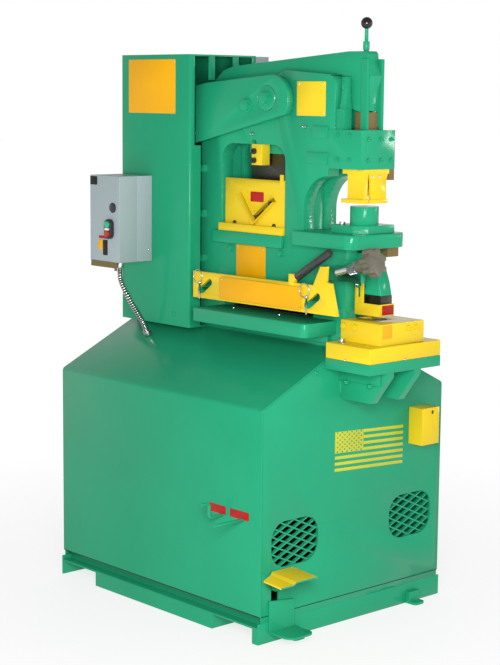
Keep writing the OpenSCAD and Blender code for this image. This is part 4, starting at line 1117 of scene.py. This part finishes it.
class IRONWORKER_OT_plates(bpy.types.Operator):
    """Blank plates on the housing, frame, holder, guards, starter and cabinet, and the painted stripes"""

    bl_idname = "ironworker.plates"
    bl_label = "Plates and stripes"

    def execute(self, context):
        self.large_plates()
        self.small_plates()
        self.stripes()
        return {"FINISHED"}

    def large_plates(self):
        """Plates held by drive rivets; one rides on the holder"""
        on_holder = BODY_OF["bar_holder"]
        places = (
            ("housing_plate", "amber_print", (-0.434, -0.199), HOUSE_LOW.y, (1.502, 1.671), "frame"),
            ("sill_plate", "amber_print", (0.014, 0.147), PLATE_Y, (0.972, 1.105), "frame"),
            ("holder_plate", "amber_print", (0.042, 0.400), HOLDER_LOW.y, (0.945, 1.011), on_holder),
            ("frame_blank_plate", "yellow_print", (0.276, 0.396), PLATE_Y, (1.5035, 1.6035), "frame"),
        )
        for name, print_finish, x, y, z, body in places:
            blank_plates(name, print_finish, [(x, y, z)], body=body)
            shape = bmesh.new()
            corner_rivets(shape, x, y, z)
            piece_from(name + "_rivets", shape, ["bright_zinc"], body)

    def small_plates(self):
        """Small blank plates in red, black and amber"""
        starter_y = STARTER_LOW.y
        red = (
            ((0.067, 0.126), GUARD_Y, (1.239, 1.2695)),
            ((0.250, 0.325), PANEL_Y, (0.354, 0.379)),
            ((0.343, 0.425), PANEL_Y, (0.354, 0.379)),
            ((-0.421, -0.375), starter_y, (1.103, 1.112)),
        )
        blank_plates("red_plates", "red_print", red)
        on_guard = BODY_OF["coper_guard"]
        end = [(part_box("coper_guard")[1].x, (-0.0275, 0.0205), (0.9375, 0.9655))]
        blank_plates("notcher_guard_plate", "red_print", ends=end, body=on_guard)
        black = (
            ((-0.466, -0.430), starter_y, (1.273, 1.300)),
            ((-0.400, -0.376), starter_y, (1.050, 1.099)),
        )
        blank_plates("black_plates", "black_print", black)
        amber = [((-0.424, -0.402), starter_y, (1.066, 1.099))]
        end = [(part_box("coper_die_block")[1].x, (-0.0865, -0.046), (0.880, 0.9185))]
        blank_plates("amber_plates", "amber_print", amber, end)

    def stripes(self):
        """Thirteen bands with a dotted field, painted on the end panel"""
        thick = 0.0004
        bands = 13
        field_bands = 7
        corner = 0.0006
        rim = 0.0001
        low = Vector((END_X, -0.088, 0.458))
        high = Vector((END_X + thick, 0.206, 0.577))
        field_y = low.y + 0.120
        band = (high.z - low.z) / bands
        field_z = high.z - field_bands * band
        middle = Matrix.Translation((low + high) / 2)
        lean = Matrix.Identity(4)
        lean[2][1] = -0.05
        askew = middle @ lean @ middle.inverted()
        shape = bmesh.new()
        rounded_slab(shape, (low.x, low.y, field_z), (high.x, field_y, high.z), 0, corner, rim)
        for row in range(0, bands, 2):
            top = high.z - row * band
            start = field_y + thick if row < field_bands else low.y
            rounded_slab(shape, (low.x, start, top - band), (high.x, high.y, top), 0, corner, rim)
        bmesh.ops.transform(shape, matrix=askew, verts=shape.verts)
        on_frame("painted_stripes", shape, "stripe_print")
        rows = 9
        columns = 6
        shape = bmesh.new()
        for row in range(rows):
            odd = row % 2
            for column in range(columns - odd):
                y = low.y + (field_y - low.y) * (column + 0.5 + 0.5 * odd) / columns
                z = field_z + (high.z - field_z) * (row + 0.5) / rows
                prism(shape, 10, (0.0030, 0.0028), thick, facing((high.x, y, z), TO_PUNCH))
        bmesh.ops.transform(shape, matrix=askew, verts=shape.verts)
        on_frame("painted_dots", shape, "green_paint")


class IRONWORKER_OT_hardware(bpy.types.Operator):
    """Small screws, welds and the notcher's bolted flange"""

    bl_idname = "ironworker.hardware"
    bl_label = "Screws and welds"

    def execute(self, context):
        self.screws()
        self.flange()
        self.welds()
        return {"FINISHED"}

    def screws(self):
        """Screws of the panels, starter, guards, stripper, bar table and notcher's table"""
        panel = [
            ((END_X, -0.171, 0.770), TO_PUNCH, 0.007),
            ((-0.204, HOUSE_LOW.y, 0.868), TO_OPERATOR, 0.007),
        ]
        screw_set("panel_screws", panel, "green_paint")
        places = ((0.156, 1.237), (-0.005, 1.169), (0.174, 1.169))
        guard = [((x, GUARD_Y, z), TO_OPERATOR, 0.0075) for x, z in places]
        screw_set("guard_screws", guard, "black_plastic")
        leg_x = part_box("stripper")[1].x - 0.003
        table_low, table_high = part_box("coper_table")
        bar_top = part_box("bar_table")[1].z
        bright = [
            ((leg_x, -0.0207, 1.3325), TO_PUNCH, 0.0042),
            ((leg_x, 0.0085, 1.3325), TO_PUNCH, 0.0042),
            ((STARTER_HIGH.x, -0.156, 1.0686), TO_PUNCH, 0.0035),
            ((table_high.x, -0.0036, 0.8172), TO_PUNCH, 0.0036),
            ((0.573, table_low.y, 0.8172), TO_OPERATOR, 0.0036),
            ((0.515, -0.047, DECK_Z + 0.191), TO_OPERATOR, 0.0055),
            ((0.050, -0.1115, bar_top), UP, 0.0045),
            ((0.2555, -0.1115, bar_top), UP, 0.0045),
        ]
        screw_set("bright_screws", bright)

    def flange(self):
        """Plate on the near gusset with two hexagon nuts under its edge"""
        face = PLATE_Y - 0.001
        low_z = 0.741
        shape = bmesh.new()
        rounded_slab(shape, (0.4765, face - 0.008, low_z), (0.640, face, 0.7825), 1, 0.002, 0.0006)
        for x in (0.509, 0.6036):
            place = Matrix.Translation((x, face - 0.0085, low_z - 0.003))
            prism(shape, 6, (0.0085, 0.0095), 0.010, place)
        flange = on_frame("gusset_flange", shape, "green_paint")
        round_edges(flange, 0.0008)

    def welds(self):
        """Beads where the gussets meet the cabinet and the notcher's support"""
        inner = 0.044
        outer = -PLATE_Y + 0.001
        shape = bmesh.new()
        for y in (-outer, -inner, inner, outer):
            weld_bead(shape, (END_X, y, 0.698), (END_X, y, 0.738), 0.004)
            weld_bead(shape, (0.646, y, 0.783), (0.660, y, 0.783), 0.004)
        bmesh.ops.recalc_face_normals(shape, faces=shape.faces)
        on_frame("weld_beads", shape, "green_paint")


# Panel and registration


class IRONWORKER_PT_sidebar(bpy.types.Panel):
    """Operators and sizes of the ironworker's looks"""

    bl_idname = "IRONWORKER_PT_sidebar"
    bl_label = "Ironworker"
    bl_space_type = "VIEW_3D"
    bl_region_type = "UI"
    bl_category = "Ironworker"

    def draw(self, context):
        for operator in OPERATORS:
            self.layout.operator(operator.bl_idname)
        for group in SETTINGS:
            settings = getattr(context.scene, group)
            for name in settings.__annotations__:
                self.layout.prop(settings, name)


OPERATORS = (
    IRONWORKER_OT_stage,
    IRONWORKER_OT_conduit,
    IRONWORKER_OT_cabinet,
    IRONWORKER_OT_main_frame,
    IRONWORKER_OT_punch_station,
    IRONWORKER_OT_angle_shear,
    IRONWORKER_OT_bar_shear,
    IRONWORKER_OT_notcher,
    IRONWORKER_OT_housing,
    IRONWORKER_OT_moving_gear,
    IRONWORKER_OT_pedal,
    IRONWORKER_OT_power_unit,
    IRONWORKER_OT_plates,
    IRONWORKER_OT_hardware,
)
SETTINGS = {
    "ironworker_finishes": IronworkerFinishes,
    "ironworker_edges": IronworkerEdges,
    "ironworker_conduit": IronworkerConduit,
    "ironworker_stage": IronworkerStage,
}
CLASSES = tuple(SETTINGS.values()) + OPERATORS + (IRONWORKER_PT_sidebar,)


def register():
    for cls in CLASSES:
        bpy.utils.register_class(cls)
    for name, group in SETTINGS.items():
        setattr(bpy.types.Scene, name, PointerProperty(type=group))


def unregister():
    for name in SETTINGS:
        delattr(bpy.types.Scene, name)
    for cls in reversed(CLASSES):
        bpy.utils.unregister_class(cls)


def main():
    register()
    bpy.ops.ironworker.stage()
    bpy.ops.ironworker.conduit()
    bpy.ops.ironworker.cabinet()
    bpy.ops.ironworker.main_frame()
    bpy.ops.ironworker.punch_station()
    bpy.ops.ironworker.angle_shear()
    bpy.ops.ironworker.bar_shear()
    bpy.ops.ironworker.notcher()
    bpy.ops.ironworker.housing()
    bpy.ops.ironworker.moving_gear()
    bpy.ops.ironworker.pedal()
    bpy.ops.ironworker.power_unit()
    bpy.ops.ironworker.plates()
    bpy.ops.ironworker.hardware()


if __name__ == "__main__":
    main()
